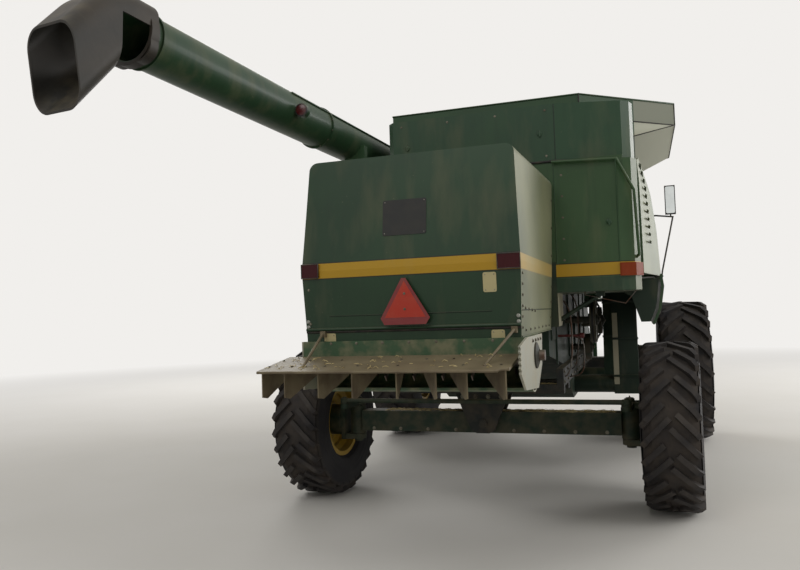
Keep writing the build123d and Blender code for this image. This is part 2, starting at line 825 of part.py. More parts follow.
# Lamps at the ends of the coloured band, red on the hood and amber on the body's corners
with BuildPart() as rear_lamps:
    for x_span in ((-744, -620), (600, 744)):
        block(x_span, (hood_rear_y - 12, hood_rear_y - 0.3), (2030, 2124))
    for side in (-1, 1):
        upward(
            [
                (side * x, bay_rear_y + y)
                for x, y in (
                    (1290, -16), (1303, -16), (1414, 21), (1466, 128), (1450.3, 130),
                    (1405.3, 34.7), (1300, -0.3), (1290, -0.3),
                )
            ],
            (2014, 2118),
        )
write(rear_lamps, "rear_lamps")

# Slow-vehicle triangle on a bracket below the band
with BuildPart() as slow_vehicle_triangle:
    with BuildSketch(Plane.XZ.offset(-(hood_rear_y - 16))):
        with BuildLine():
            Polyline((-185, 1630), (155, 1630), (-15, 1990), close=True)
        make_face()
        fillet(vertices(), 22)
    extrude(amount=6)
    across(
        (
            (hood_face_y(1700) - 0.3, 1700), (hood_face_y(1800) - 0.3, 1800),
            (hood_rear_y - 17, 1800), (hood_rear_y - 17, 1700),
        ),
        (-60, 30),
    )
write(slow_vehicle_triangle, "slow_vehicle_triangle")

# Engine, one plain block, and the cover box over the rear deck
with BuildPart() as engine_block:
    block((-450, 450), (rear_axle_y - 450, rear_axle_y + 330), (body_top_z, 2880))
    bar((-440, exhaust_y, exhaust_z), (exhaust_x, exhaust_y, exhaust_z), exhaust_radius)
    bar(
        (exhaust_x, exhaust_y, exhaust_z - exhaust_radius), (exhaust_x, exhaust_y, exhaust_top_z),
        exhaust_radius,
    )
    bar(
        (exhaust_x, exhaust_y, exhaust_top_z - 120), (exhaust_x, exhaust_y, exhaust_top_z + 1),
        exhaust_radius - 6, Mode.SUBTRACT,
    )
write(engine_block, "engine_block")

cover_plan = (
    (engine_cover_left_x, engine_cover_front_y), (engine_cover_left_x, bay_rear_y + 50),
    (engine_cover_left_x + 50, bay_rear_y), (engine_cover_kink_x, bay_rear_y),
    (engine_cover_corner_x, bay_rear_y + engine_cover_corner_step),
    (bay_half_width - 40, bay_rear_y + 220), (bay_half_width - 15, bay_rear_y + 300),
    (bay_half_width - 15, engine_cover_front_y),
)
with BuildPart() as engine_cover:
    upward(cover_plan, engine_cover_z)
    with BuildSketch(Plane.XY.offset(engine_cover_z[0] - 1)) as hollow:
        with BuildLine():
            Polyline(*cover_plan, close=True)
        make_face()
        offset(amount=-panel_wall, kind=Kind.INTERSECTION, mode=Mode.REPLACE)
    extrude(hollow.sketch, amount=engine_cover_z[1] - engine_cover_z[0] + 1 - panel_wall, mode=Mode.SUBTRACT)
write(engine_cover, "engine_cover")

# Side panels: rear corners of the bay, flared sides over the tank, decks and ribs
corner_outline = (
    (790, bay_rear_y), (1300, bay_rear_y), (1405, bay_rear_y + 35), (bay_half_width, bay_rear_y + 130),
    (bay_half_width, bay_rear_y + 200), (bay_half_width - panel_wall, bay_rear_y + 200),
    (bay_half_width - panel_wall, bay_rear_y + 135), (1395, bay_rear_y + 48),
    (1296, bay_rear_y + panel_wall), (790, bay_rear_y + panel_wall),
)
# Columns: y of a rib under the panels, half its width
ribs = ((rear_axle_y + 1150, 25), (auger_pivot_y, 220), (rear_axle_y + 3200, 25))


def flare(side, share, top_z):
    """Rear view of one side panel, its flare beyond the bay's width scaled by a share."""
    outer = [(bay_half_width + (x - bay_half_width) * share, min(z, top_z)) for x, z in side_outline]
    inner = [(x - panel_wall, z) for x, z in reversed(outer)]
    return [(side * x, z) for x, z in outer + inner]


side_strips = [
    strip_between(outlines)
    for side in (-1, 1)
    for outlines in (
        (
            (bay_rear_y + 199, flare(side, corner_flare_share, bay_top_z)),
            (side_rear_y + 450, flare(side, 1, side_top_z)),
        ),
        ((side_rear_y + 449, flare(side, 1, side_top_z)), (side_front_y, flare(side, 1, side_top_z))),
    )
]
hinge_stations = [side_rear_y + 200 + 1150 * i for i in range(3)]
shield_x = shield_outline[0][0]
with BuildPart() as side_panels:
    for strip in side_strips:
        add(strip)
    for side in (-1, 1):
        upward([(side * x, y) for x, y in corner_outline], (deck_z, bay_top_z))
        upward(
            (
                (side * body_half_width, bay_rear_y + 60), (side * 1440, bay_rear_y + 160),
                (side * 1440, engine_cover_front_y), (side * body_half_width, engine_cover_front_y),
            ),
            (deck_z, deck_z + panel_wall),
        )
        for y, half in ribs:
            block(sorted((side * body_half_width, side * 1600)), (y - half, y + half), (2090, body_top_z))
        for y in hinge_stations:
            bar(
                (side * shield_x, y - hinge_width, shield_hinge_z),
                (side * shield_x, y + hinge_width, shield_hinge_z), hinge_pin_radius,
            )
            for end in (-1, 1):
                y_ear = sorted((y + end * hinge_width, y + end * (hinge_width - 30)))
                block(
                    sorted((side * (shield_x - 16), side * (shield_x + 3))), y_ear,
                    (shield_hinge_z - 7, side_outline[-1][1] + 6),
                )
    # Rear wall of the engine bay, the frame that the cover sits on, and the deck beside it
    block(
        (-flange_half_width, flange_half_width), (bay_rear_y, bay_rear_y + panel_wall),
        (body_top_z, bay_top_z),
    )
    block(
        (engine_cover_left_x, engine_cover_corner_x), (bay_rear_y + 8, bay_rear_y + 48),
        (bay_top_z - 60, engine_cover_z[0]),
    )
    block(
        (engine_cover_left_x, engine_cover_left_x + 40), (bay_rear_y + 10, engine_cover_front_y),
        (service_deck_z, engine_cover_z[0]),
    )
    block(
        (-bay_half_width, engine_cover_left_x + 20), (bay_rear_y + 150, tank_rear_y),
        (service_deck_z, service_deck_z + panel_wall),
    )
    block(
        (-1390, engine_cover_left_x + 20), (bay_rear_y + 10, bay_rear_y + 151),
        (service_deck_z, service_deck_z + panel_wall),
    )
    bar(
        (exhaust_x, exhaust_y, service_deck_z - 1),
        (exhaust_x, exhaust_y, service_deck_z + panel_wall + 1), exhaust_radius + 8, Mode.SUBTRACT,
    )
    # Front wall behind the cab, and the decks that close the sides over the tank
    along(
        (
            (-1460, side_top_z), (-1550, 2800), (-1590, 2450), (-1605, 2040),
            (-body_half_width - 1, 2040), (-body_half_width - 1, body_top_z),
            (body_half_width + 1, body_top_z), (body_half_width + 1, 2040), (1605, 2040), (1590, 2450),
            (1550, 2800), (1460, side_top_z),
        ),
        (tank_front_y, side_front_y),
    )
    block((-1465, tank_left_x), (tank_rear_y, tank_front_y + 1), (top_deck_z, top_deck_z + panel_wall))
    block((tank_right_x, 1465), (tank_rear_y, tank_front_y + 1), (top_deck_z, top_deck_z + panel_wall))
    bar(
        (auger_pivot_x, auger_pivot_y, top_deck_z - 1),
        (auger_pivot_x, auger_pivot_y, top_deck_z + panel_wall + 1), auger_turret_radius - 15,
        Mode.SUBTRACT,
    )
    # Guard tube round the right-hand rear corner
    bent_rod(
        (
            (guard_x[0], bay_rear_y + 20, guard_z[2]), (guard_x[0], bay_rear_y - guard_stand, guard_z[2]),
            (guard_x[1], bay_rear_y - guard_stand, guard_z[2] - 20),
            (guard_x[2], bay_rear_y - guard_stand + 20, guard_z[1]),
            (guard_x[2] + 18, bay_rear_y - guard_stand + 40, guard_z[0]),
            (guard_x[2] - 7, bay_rear_y + 80, guard_z[0] - 20),
        ),
        guard_radius,
    )
    # Louvers of the cooling air screen, high on the right-hand panel
    for i in range(louver_count):
        z = louver_z[0] + (louver_z[1] - louver_z[0]) * i / (louver_count - 1)
        block((bay_half_width - 40, bay_half_width + 160), louver_y, (z, z + louver_height), Mode.SUBTRACT)
write(side_panels, "side_panels")

# Side shields, each hung from its upper edge
for side, side_name in ((-1, "left"), (1, "right")):
    outer = [(side * x, z) for x, z in shield_outline]
    inner = [(side * (x - shield_wall), z) for x, z in reversed(shield_outline)]
    with BuildPart() as side_shield:
        along(outer + inner, (side_rear_y, shield_front_y))
        for y in hinge_stations:
            reach = hinge_width - 32
            bar(
                (side * shield_x, y - reach, shield_hinge_z),
                (side * shield_x, y + reach, shield_hinge_z), hinge_barrel_radius,
            )
            block(
                sorted((side * (shield_x - 12), side * (shield_x - 2))), (y - reach, y + reach),
                (shield_top_z - 12, shield_hinge_z),
            )
            bar(
                (side * shield_x, y - reach - 1, shield_hinge_z),
                (side * shield_x, y + reach + 1, shield_hinge_z), hinge_pin_radius + hinge_clearance,
                Mode.SUBTRACT,
            )
            for end in (-1, 1):
                y_ear = sorted((y + end * (hinge_width + 5), y + end * (reach + 0.5)))
                block(
                    sorted((side * (shield_x - 26), side * (shield_x + 12))), y_ear,
                    (shield_top_z - 14, shield_top_z + 20), Mode.SUBTRACT,
                )
    write(side_shield, f"side_shield_{side_name}")

# Grain tank, open above, its floor sloping to the cross auger
with BuildPart() as grain_tank:
    along(
        (
            (tank_left_x, tank_top_z), (tank_left_x, tank_floor_z - 22), (sump_x[0] - 12, sump_z - tank_wall),
            (sump_x[1] + 12, sump_z - tank_wall), (tank_right_x, tank_floor_z - 22),
            (tank_right_x, tank_top_z),
        ),
        (tank_rear_y, tank_front_y),
    )
    block(sump_x, (tank_rear_y, tank_front_y), (body_top_z, sump_z - tank_wall))
    # Columns: the x span of a post and its top, inside the tank's floor
    for x_span, post_top_z in (((-690, -630), 2760), ((630, 690), 2430)):
        for y in (tank_rear_y + 200, tank_front_y - 200):
            block(x_span, (y - 40, y + 40), (body_top_z, post_top_z))
    along(
        (
            (tank_left_x + tank_wall, tank_top_z + 1), (tank_left_x + tank_wall, tank_floor_z),
            (sump_x[0], sump_z),
            (sump_x[1], sump_z), (tank_right_x - tank_wall, tank_floor_z),
            (tank_right_x - tank_wall, tank_top_z + 1),
        ),
        (tank_rear_y + tank_wall, tank_front_y - tank_wall), Mode.SUBTRACT,
    )
    sump_middle = sum(sump_x) / 2
    along(
        (
            (sump_x[0] - 60, sump_z + 190), (sump_middle, sump_z + 330), (sump_x[1] + 60, sump_z + 190),
            (sump_x[1] + 60, sump_z + 182), (sump_middle, sump_z + 322), (sump_x[0] - 60, sump_z + 182),
        ),
        (tank_rear_y + tank_wall - 1, tank_front_y - tank_wall + 1),
    )
write(grain_tank, "grain_tank")

def extension_form(wall):
    """The extension's outer form, or with a wall its hollow, open above and below."""
    low_plan = (
        (tank_left_x, tank_rear_y), (extension_chamfer_x, tank_rear_y), (tank_right_x, tank_rear_y + 240),
        (tank_right_x, tank_front_y - 400), (tank_right_x - 240, tank_front_y), (tank_left_x, tank_front_y),
    )
    high_plan = (
        (tank_left_x, extension_rear_y), (extension_chamfer_x, extension_rear_y),
        (extension_right_x, extension_corner_y), (extension_right_x, tank_front_y - 500),
        (tank_right_x, tank_front_y - 40), (tank_left_x, tank_front_y - 40),
    )
    with BuildPart() as form:
        for z, plan in ((tank_top_z, low_plan), (extension_lip_z, high_plan)):
            with BuildSketch(Plane.XY.offset(z)):
                with BuildLine():
                    Polyline(*plan, close=True)
                make_face()
                if wall:
                    offset(amount=-wall, kind=Kind.INTERSECTION, mode=Mode.REPLACE)
        loft(ruled=True)
        with BuildSketch(Plane.XY.offset(extension_lip_z)) as rim:
            with BuildLine():
                Polyline(*high_plan, close=True)
            make_face()
            if wall:
                offset(amount=-wall, kind=Kind.INTERSECTION, mode=Mode.REPLACE)
        extrude(rim.sketch, amount=extension_top_z - extension_lip_z)
    return form.part


# Tank extension: a hopper wall round the opening, flared out on the right
with BuildPart() as tank_extension:
    add(extension_form(0))
    add(extension_form(panel_wall), mode=Mode.SUBTRACT)
    for corner in (
        ((extension_chamfer_x, tank_rear_y), (tank_right_x, tank_rear_y), (tank_right_x, tank_rear_y + 240)),
        (
            (tank_right_x, tank_front_y - 400), (tank_right_x, tank_front_y),
            (tank_right_x - 240, tank_front_y),
        ),
    ):
        upward(corner, (tank_top_z, tank_top_z + 10))
write(tank_extension, "tank_extension")

# Elevators in the right-hand bay, with the cross augers that feed them
elevator_x = (1120, 1380)
with BuildPart() as elevators:
    across(
        (
            (rear_axle_y + 1400, 830), (rear_axle_y + 1600, 830), (rear_axle_y + 1720, 2080),
            (rear_axle_y + 1520, 2080),
        ),
        elevator_x,
    )
    across(
        (
            (rear_axle_y + 2020, 900), (rear_axle_y + 2180, 900), (rear_axle_y + 2500, 2080),
            (rear_axle_y + 2340, 2080),
        ),
        (elevator_x[0] - 130, elevator_x[0] - 10),
    )
    bar((body_half_width, rear_axle_y + 1500, 930), (elevator_x[0] + 5, rear_axle_y + 1500, 930), 95)
    bar((body_half_width, rear_axle_y + 2100, 980), (elevator_x[0] - 125, rear_axle_y + 2100, 980), 80)
write(elevators, "elevators")

# Belt drives on both flanks. Columns: side, y from the rear axle, z, pulley radius, x of its outer face
pulleys = (
    (1, 700, 1650, 230, 1000), (1, 1750, 1620, 150, 1000), (1, 2750, 1560, 260, 1060),
    (1, 1250, 1350, 140, 900),
    (-1, 500, 1620, 210, 1040), (-1, 1500, 1700, 280, 1040), (-1, 2600, 1600, 240, 1040),
    (-1, 1900, 1340, 150, 900),
)
# Columns: the two pulleys' rows in the table above, the belt's distance in from their outer face
belts = ((0, 1, 30), (4, 5, 22), (5, 6, 46))
with BuildPart() as side_drives:
    for side, y, z, radius, outer_x in pulleys:
        centre_y = rear_axle_y + y
        bar((side * body_half_width, centre_y, z), (side * (outer_x + 30), centre_y, z), 32)
        bar((side * (outer_x - 50), centre_y, z), (side * outer_x, centre_y, z), radius)
    for first, second, inset in belts:
        side, outer_x = pulleys[first][0], pulleys[first][4]
        loops = []
        for lift in (belt_lift, belt_lift - belt_thickness):
            with BuildSketch(
                Plane.YZ.offset(min(side * (outer_x - inset), side * (outer_x - inset + belt_width)))
            ) as loop:
                for row in (first, second):
                    with Locations((rear_axle_y + pulleys[row][1], pulleys[row][2])):
                        Circle(pulleys[row][3] + lift)
                make_hull()
            loops.append(loop.sketch)
        extrude(loops[0] - loops[1], amount=belt_width)
write(side_drives, "side_drives")

# Unloading auger: a fixed turret, and the swinging elbow and tube
fold = Vector(auger_fold_x, auger_end_y, auger_end_z) - Vector(auger_pivot_x, auger_pivot_y, auger_pivot_z)
fold_heading = fold.normalized()
pivot = Vector(auger_pivot_x, auger_pivot_y, auger_pivot_z)
with BuildPart() as auger_turret:
    bar(
        (auger_pivot_x, auger_pivot_y, body_top_z), (auger_pivot_x, auger_pivot_y, auger_swivel_z),
        auger_turret_radius - 20,
    )
    bar(
        (auger_pivot_x, auger_pivot_y, auger_swivel_z - 40),
        (auger_pivot_x, auger_pivot_y, auger_swivel_z), auger_turret_radius + 25,
    )
    block((auger_pivot_x, tank_left_x), (auger_pivot_y - 130, auger_pivot_y + 130), (2900, 3120))
    saddle = pivot + fold * ((auger_pivot_y - auger_saddle_y) / (auger_pivot_y - auger_end_y))
    saddle_foot_z = service_deck_z + panel_wall
    block(
        (saddle.X + 40, saddle.X + 100), (auger_saddle_y - 30, auger_saddle_y + 30),
        (saddle_foot_z, saddle.Z - auger_radius - 30),
    )
    block(
        (saddle.X - 20, saddle.X + 160), (auger_saddle_y - 70, auger_saddle_y + 70),
        (saddle_foot_z, saddle_foot_z + 12),
    )
    block(
        (saddle.X, saddle.X + 220), (auger_saddle_y - 40, auger_saddle_y + 40),
        (saddle.Z - auger_radius - 40, saddle.Z - 60),
    )
    bar(pivot + fold_heading * 1000, pivot + fold, auger_radius + running_gap, Mode.SUBTRACT)
write(auger_turret, "auger_turret")

tube_start = pivot + fold_heading * 20
tube_end = pivot + fold
with BuildPart() as auger_tube:
    bar(
        (auger_pivot_x, auger_pivot_y, auger_swivel_z + running_gap),
        (auger_pivot_x, auger_pivot_y, auger_pivot_z), auger_turret_radius,
    )
    bar(
        (auger_pivot_x, auger_pivot_y, auger_swivel_z + running_gap),
        (auger_pivot_x, auger_pivot_y, auger_swivel_z + 40), auger_turret_radius + 25,
    )
    with Locations(pivot):
        Sphere(auger_turret_radius)
    bar(tube_start, tube_end, auger_radius)
    bar(pivot + fold_heading * 400, tube_end + fold_heading, auger_radius - 10, Mode.SUBTRACT)
    lamp = Vector(auger_lamp_x, auger_lamp_y, auger_lamp_z)
    at_lamp = pivot + fold_heading * (lamp - pivot).dot(fold_heading)
    outward = (lamp - at_lamp).normalized()
    bar(lamp, lamp + Vector(0, 60, 0), auger_lamp_radius)
    bar(lamp + Vector(0, 59, 0), lamp + Vector(0, 85, 0), auger_lamp_radius * 0.6)
    bar(at_lamp + outward * (auger_radius - 4) + Vector(0, 40, 0), lamp + Vector(0, 40, 0), 14)
    conduit_side = (outward + Vector(0, 0, 1)).normalized() * (auger_radius + conduit_radius - 2)
    bar(at_lamp + conduit_side, pivot + fold_heading * 160 + conduit_side, conduit_radius)
write(auger_tube, "auger_tube")

# Spout: a square-sided hood clamped round the tube's end, its inner bend cut open
with BuildPart() as auger_spout:
    with BuildLine() as spout_line:
        lead = Line(tube_end - fold_heading * spout_clamp_length, tube_end + fold_heading * spout_lead)
        side_axis = fold_heading.cross(Vector(0, 0, 1)).normalized()
        down = fold_heading.cross(side_axis).normalized()
        bend_centre = tube_end + fold_heading * spout_lead + down * spout_bend_radius
        turn = math.radians(spout_bend_deg)
        half_way = bend_centre - down * spout_bend_radius * math.cos(
            turn / 2
        ) + fold_heading * spout_bend_radius * math.sin(turn / 2)
        bend_end = bend_centre - down * spout_bend_radius * math.cos(
            turn
        ) + fold_heading * spout_bend_radius * math.sin(turn)
        ThreePointArc(lead @ 1, half_way, bend_end)
        Line(
            bend_end,
            bend_end + (
                fold_heading * math.cos(turn) + down * math.sin(turn)
            ) * (spout_tail + spout_width / 2),
        )
    with BuildSketch(Plane(origin=lead @ 0, x_dir=side_axis, z_dir=fold_heading)):
        RectangleRounded(spout_width, spout_width, spout_corner_radius)
        RectangleRounded(
            spout_width - 2 * spout_wall, spout_width - 2 * spout_wall,
            spout_corner_radius - spout_wall, mode=Mode.SUBTRACT,
        )
    sweep()
    bar(tube_end - fold_heading * spout_clamp_length, tube_end + fold_heading * 10, spout_width / 2 + 12)
    bar(
        tube_end - fold_heading * (spout_clamp_length + 1), tube_end + fold_heading * 11,
        auger_radius + running_gap, Mode.SUBTRACT,
    )
    arch = Plane(
        origin=tube_end + fold_heading * (10 + arch_length / 2) + down * spout_width / 2,
        x_dir=side_axis,
        z_dir=down,
    )
    with Locations(arch):
        Box(2 * spout_width, arch_length, 2 * arch_depth, mode=Mode.SUBTRACT)
    # The mouth is trimmed steeper than the tail, so that its lower lip reaches further
    spout_heading = fold_heading * math.cos(turn) + down * math.sin(turn)
    mouth_centre = bend_end + spout_heading * spout_tail
    tail_down = down * math.cos(turn) - fold_heading * math.sin(turn)
    trim = math.radians(spout_trim_deg)
    mouth_normal = spout_heading * math.cos(trim) - tail_down * math.sin(trim)
    with Locations(Plane(origin=mouth_centre, x_dir=side_axis, z_dir=mouth_normal)):
        Box(
            3 * spout_width, 3 * spout_width, spout_width, align=(Align.CENTER, Align.CENTER, Align.MIN),
            mode=Mode.SUBTRACT,
        )
write(auger_spout, "auger_spout")

# Feeder house: a sloping duct hung on the body's front shaft, with a flanged mouth
floor_slope = (feeder_rear_z[0] - feeder_mouth_z[0]) / (feeder_mouth_y - feeder_rear_y)
ear_rear_z = feeder_mouth_z[0] + floor_slope * (feeder_mouth_y - lift_eye_y + 120) + 8
ear_front_z = feeder_mouth_z[0] + floor_slope * (feeder_mouth_y - lift_eye_y - 100) + 8
frame_z = (feeder_mouth_z[0] - 60, feeder_mouth_z[1] + 70)
with BuildPart() as feeder_house:
    across(
        (
            (feeder_rear_y, feeder_rear_z[0]), (feeder_rear_y, feeder_rear_z[1]),
            (feeder_mouth_y, feeder_mouth_z[1]), (feeder_mouth_y, feeder_mouth_z[0]),
        ),
        (-feeder_half_width, feeder_half_width),
    )
    block(
        (-feeder_half_width - 70, feeder_half_width + 70),
        (feeder_mouth_y - feeder_frame_depth, feeder_mouth_y), frame_z,
    )
    for x in (-lift_x, lift_x):
        for ear in (-66, 42):
            across(
                (
                    (lift_eye_y - 120, ear_rear_z), (lift_eye_y - 45, lift_eye_z - 30),
                    (lift_eye_y + 45, lift_eye_z - 30), (lift_eye_y + 100, ear_front_z),
                ),
                (x + ear, x + ear + 24),
            )
        bar((x - 62, lift_eye_y, lift_eye_z), (x + 62, lift_eye_y, lift_eye_z), lift_pin_radius)
    across(
        (
            (feeder_rear_y - 1, feeder_rear_z[0] + feeder_wall),
            (feeder_rear_y - 1, feeder_rear_z[1] - feeder_wall),
            (feeder_mouth_y + 1, feeder_mouth_z[1] - feeder_wall),
            (feeder_mouth_y + 1, feeder_mouth_z[0] + feeder_wall),
        ),
        (-feeder_half_width + feeder_wall, feeder_half_width - feeder_wall), Mode.SUBTRACT,
    )
    for y, z, radius in (
        (feeder_pivot_y, feeder_pivot_z, feeder_shaft_radius + running_gap),
        (feeder_drum_y, feeder_drum_z, feeder_axle_radius + running_gap),
    ):
        bar((-feeder_half_width - 5, y, z), (feeder_half_width + 5, y, z), radius, Mode.SUBTRACT)
    drive = (header_drive_y, header_drive_z)
    bar((-feeder_half_width + 1, *drive), (-feeder_half_width - 130, *drive), 55)
    bar((-feeder_half_width - 129, *drive), (-feeder_half_width - 190, *drive), header_drive_radius)
    for x in (-header_lock_x, header_lock_x):
        bar(
            (x, feeder_mouth_y - feeder_frame_depth - 1, header_lock_z),
            (x, feeder_mouth_y + 1, header_lock_z), header_lock_radius, Mode.SUBTRACT,
        )
write(feeder_house, "feeder_house")

# Feeder conveyor: the front drum, and chains round it with slats across them
drum = Vector(0, feeder_drum_y, feeder_drum_z)
head_shaft = Vector(0, feeder_pivot_y, feeder_pivot_z)
run = head_shaft - drum
run_across = Vector(0, -run.Z, run.Y).normalized()
with BuildPart() as feeder_conveyor:
    bar(
        (-feeder_half_width - 30, feeder_drum_y, feeder_drum_z),
        (feeder_half_width + 30, feeder_drum_y, feeder_drum_z), feeder_axle_radius,
    )
    bar((-560, feeder_drum_y, feeder_drum_z), (560, feeder_drum_y, feeder_drum_z), feeder_drum_radius)
    for x in chain_x:
        loops = []
        for inset in (0, chain_thickness):
            with BuildSketch(Plane.YZ.offset(x - chain_width / 2)) as loop:
                with Locations((feeder_drum_y, feeder_drum_z)):
                    Circle(chain_front_radius - inset)
                with Locations((feeder_pivot_y, feeder_pivot_z)):
                    Circle(chain_rear_radius - inset)
                make_hull()
            loops.append(loop.sketch)
        extrude(loops[0] - loops[1], amount=chain_width)
    for face in (-1, 1):
        for i in range(slat_count):
            share = (i + 0.5) / slat_count
            reach = chain_front_radius + (chain_rear_radius - chain_front_radius) * share
            middle = drum + run * share + run_across * (face * reach)
            with Locations(Plane(origin=middle, x_dir=(1, 0, 0), z_dir=run_across)):
                Box(1120, 34, 18)
write(feeder_conveyor, "feeder_conveyor")

# Lift cylinders under the feeder house: barrels on the axle, rods to the house
lift_base = Vector(0, lift_base_y, lift_base_z)
lift_eye = Vector(0, lift_eye_y, lift_eye_z)
lift_line = (lift_eye - lift_base).normalized()
with BuildPart() as lift_barrels:
    for x in (-lift_x, lift_x):
        foot = lift_base + Vector(x, 0, 0)
        bar(foot + lift_line * 20, foot + lift_line * 800, lift_barrel_radius)
        bar(foot - Vector(30, 0, 0), foot + Vector(30, 0, 0), 42)
        bar(foot + lift_line * 90, foot + lift_line * 801, lift_rod_radius + running_gap, Mode.SUBTRACT)
        bar(foot - Vector(31, 0, 0), foot + Vector(31, 0, 0), 20 + running_gap, Mode.SUBTRACT)
write(lift_barrels, "lift_barrels")

with BuildPart() as lift_rods:
    for x in (-lift_x, lift_x):
        eye = lift_eye + Vector(x, 0, 0)
        bar(lift_base + Vector(x, 0, 0) + lift_line * 330, eye - lift_line * 20, lift_rod_radius)
        bar(eye - Vector(34, 0, 0), eye + Vector(34, 0, 0), 42)
        bar(eye - Vector(35, 0, 0), eye + Vector(35, 0, 0), lift_eye_bore, Mode.SUBTRACT)
write(lift_rods, "lift_rods")

# Platforms round the cab, their beams and posts, the ladder and the handrails
deck_y = (body_step_y + 5, rear_axle_y + 4500, cab_front_y + 40, platform_front_y)
ladder_top_x = deck_left_x + 40
ladder_foot_x = deck_left_x - 110
ladder_side = 60
ladder_steps = 5
step_rise = (platform_z[0] - ladder_foot_z) / ladder_steps
left_post_y = rear_axle_y + 3960
with BuildPart() as access_ladder:
    upward(
        (
            (deck_left_x, deck_y[0]), (deck_right_x, deck_y[0]), (deck_right_x, deck_y[1]),
            (cab_half_width + 20, deck_y[1]), (cab_half_width + 20, deck_y[2]),
            (-cab_half_width - 20, deck_y[2]), (-cab_half_width - 20, deck_y[3]), (deck_left_x, deck_y[3]),
        ),
        platform_z,
    )
    for side in (-1, 1):
        block(
            sorted((side * body_half_width, side * (body_half_width + 60))), (deck_y[0], deck_y[2]),
            (platform_z[0] - 80, platform_z[0] + 1),
        )
        block(
            sorted((side * 1300, side * 1360)), (front_axle_y - 30, front_axle_y + 30),
            (final_drive_pad_z, platform_z[0] + 1),
        )
    for y in (ladder_y[0] + 20, ladder_y[1] - 20):
        along(
            (
                (ladder_top_x - ladder_side, platform_z[0] + 2), (ladder_top_x, platform_z[0] + 2),
                (ladder_foot_x + ladder_side, ladder_foot_z), (ladder_foot_x, ladder_foot_z),
            ),
            (y - 20, y + 20),
        )
    for i in range(ladder_steps):
        z = ladder_foot_z + 20 + step_rise * i
        x = ladder_foot_x + (ladder_top_x - ladder_side - ladder_foot_x) * i / ladder_steps
        block((x - 20, x + 180), (ladder_y[0] + 10, ladder_y[1] - 10), (z, z + 28))
    left_x, right_x, inner_x = deck_left_x + rail_inset, deck_right_x - rail_inset, cab_half_width + 50
    left_y = (left_post_y, ladder_y[0] - 30)
    right_y = (deck_y[0] + rail_inset, deck_y[1] - rail_inset)
    front_y = deck_y[3] - rail_inset
    # Columns: radius, and the points that the handrail runs through
    rails = (
        (
            rail_radius,
            (
                (left_x, left_y[0], platform_z[1] - 1), (left_x, left_y[0], rail_top_z),
                (left_x, left_y[1], rail_top_z), (left_x, left_y[1], platform_z[1] - 1),
            ),
        ),
        (rail_radius - 3, ((left_x, left_y[0], rail_middle_z), (left_x, left_y[1], rail_middle_z))),
        (
            rail_radius,
            (
                (left_x, front_y, platform_z[1] - 1), (left_x, front_y, rail_top_z),
                (-inner_x, front_y, rail_top_z), (-inner_x, front_y, platform_z[1] - 1),
            ),
        ),
        (rail_radius - 3, ((left_x, front_y, rail_middle_z), (-inner_x, front_y, rail_middle_z))),
        (
            rail_radius,
            (
                (right_x, right_y[0], platform_z[1] - 1), (right_x, right_y[0], rail_top_z),
                (right_x, right_y[1], rail_top_z), (right_x, right_y[1], platform_z[1] - 1),
            ),
        ),
        (rail_radius - 3, ((right_x, right_y[0], rail_middle_z), (right_x, right_y[1], rail_middle_z))),
        (
            rail_radius - 1,
            (
                (right_x, right_y[1], rail_top_z), (inner_x, right_y[1], rail_top_z),
                (inner_x, right_y[1], platform_z[1] - 1),
            ),
        ),
        (rail_radius - 3, ((right_x, right_y[1], rail_middle_z), (inner_x, right_y[1], rail_middle_z))),
    )
    for radius, points in rails:
        bent_rod(points, radius)
write(access_ladder, "access_ladder")

# Cab frame: floor pan, sills, posts and rear wall, open at the glass and the door
cab_x = (-cab_half_width, cab_half_width)
cab_inner_z = cab_floor_z + cab_floor_thickness
rail_z = cab_roof_z - cab_floor_thickness
with BuildPart() as cab_frame:
    block(cab_x, (cab_rear_y, cab_front_y), (cab_floor_z, cab_roof_z))
    inner_x = (cab_x[0] + cab_post, cab_x[1] - cab_post)
    side_front = cab_front_y - cab_post
    block(
        inner_x, (cab_rear_y + cab_rear_wall, cab_front_y - cab_front_wall),
        (cab_inner_z, cab_roof_z + 1), Mode.SUBTRACT,
    )
    block(inner_x, (cab_front_y - cab_front_wall - 1, cab_front_y + 1), (cab_inner_z, rail_z), Mode.SUBTRACT)
    block((inner_x[1] - 1, cab_x[1] + 1), (window_rear_y, side_front), window_z, Mode.SUBTRACT)
    block((cab_x[0] - 1, inner_x[0] + 1), (quarter_glass_y, side_front), window_z, Mode.SUBTRACT)
    block((cab_x[0] - 1, inner_x[0] + 1), (door_rear_y, door_front_y), door_z, Mode.SUBTRACT)
    block(
        (-rear_window_half_width, rear_window_half_width),
        (cab_rear_y - 1, cab_rear_y + cab_rear_wall + 1), rear_window_z, Mode.SUBTRACT,
    )
    for z in door_hinge_z:
        bar((door_hinge_x, door_rear_y, z - 60), (door_hinge_x, door_rear_y, z + 60), hinge_pin_radius)
        for end in (-1, 1):
            z_ear = sorted((z + end * 40, z + end * 60))
            block((door_hinge_x - 8, cab_x[0]), (door_rear_y - 40, door_rear_y + 4), z_ear)
write(cab_frame, "cab_frame")

with BuildPart() as cab_roof:
    roof_y = (cab_rear_y - roof_overhang, cab_front_y + 2 * roof_overhang)
    block(
        (cab_x[0] - roof_overhang, cab_x[1] + roof_overhang), roof_y,
        (cab_roof_z, cab_roof_z + roof_thickness),
    )
    fillet(edges().filter_by(Axis.Z), 110)
    fillet(faces().sort_by(Axis.Z)[-1].edges(), 45)
    block(
        (cab_x[0] + 60, cab_x[1] - 60), (cab_rear_y + 30, cab_front_y - 50),
        (cab_roof_z - 1, cab_roof_z + roof_thickness - 40), Mode.SUBTRACT,
    )
write(cab_roof, "cab_roof")


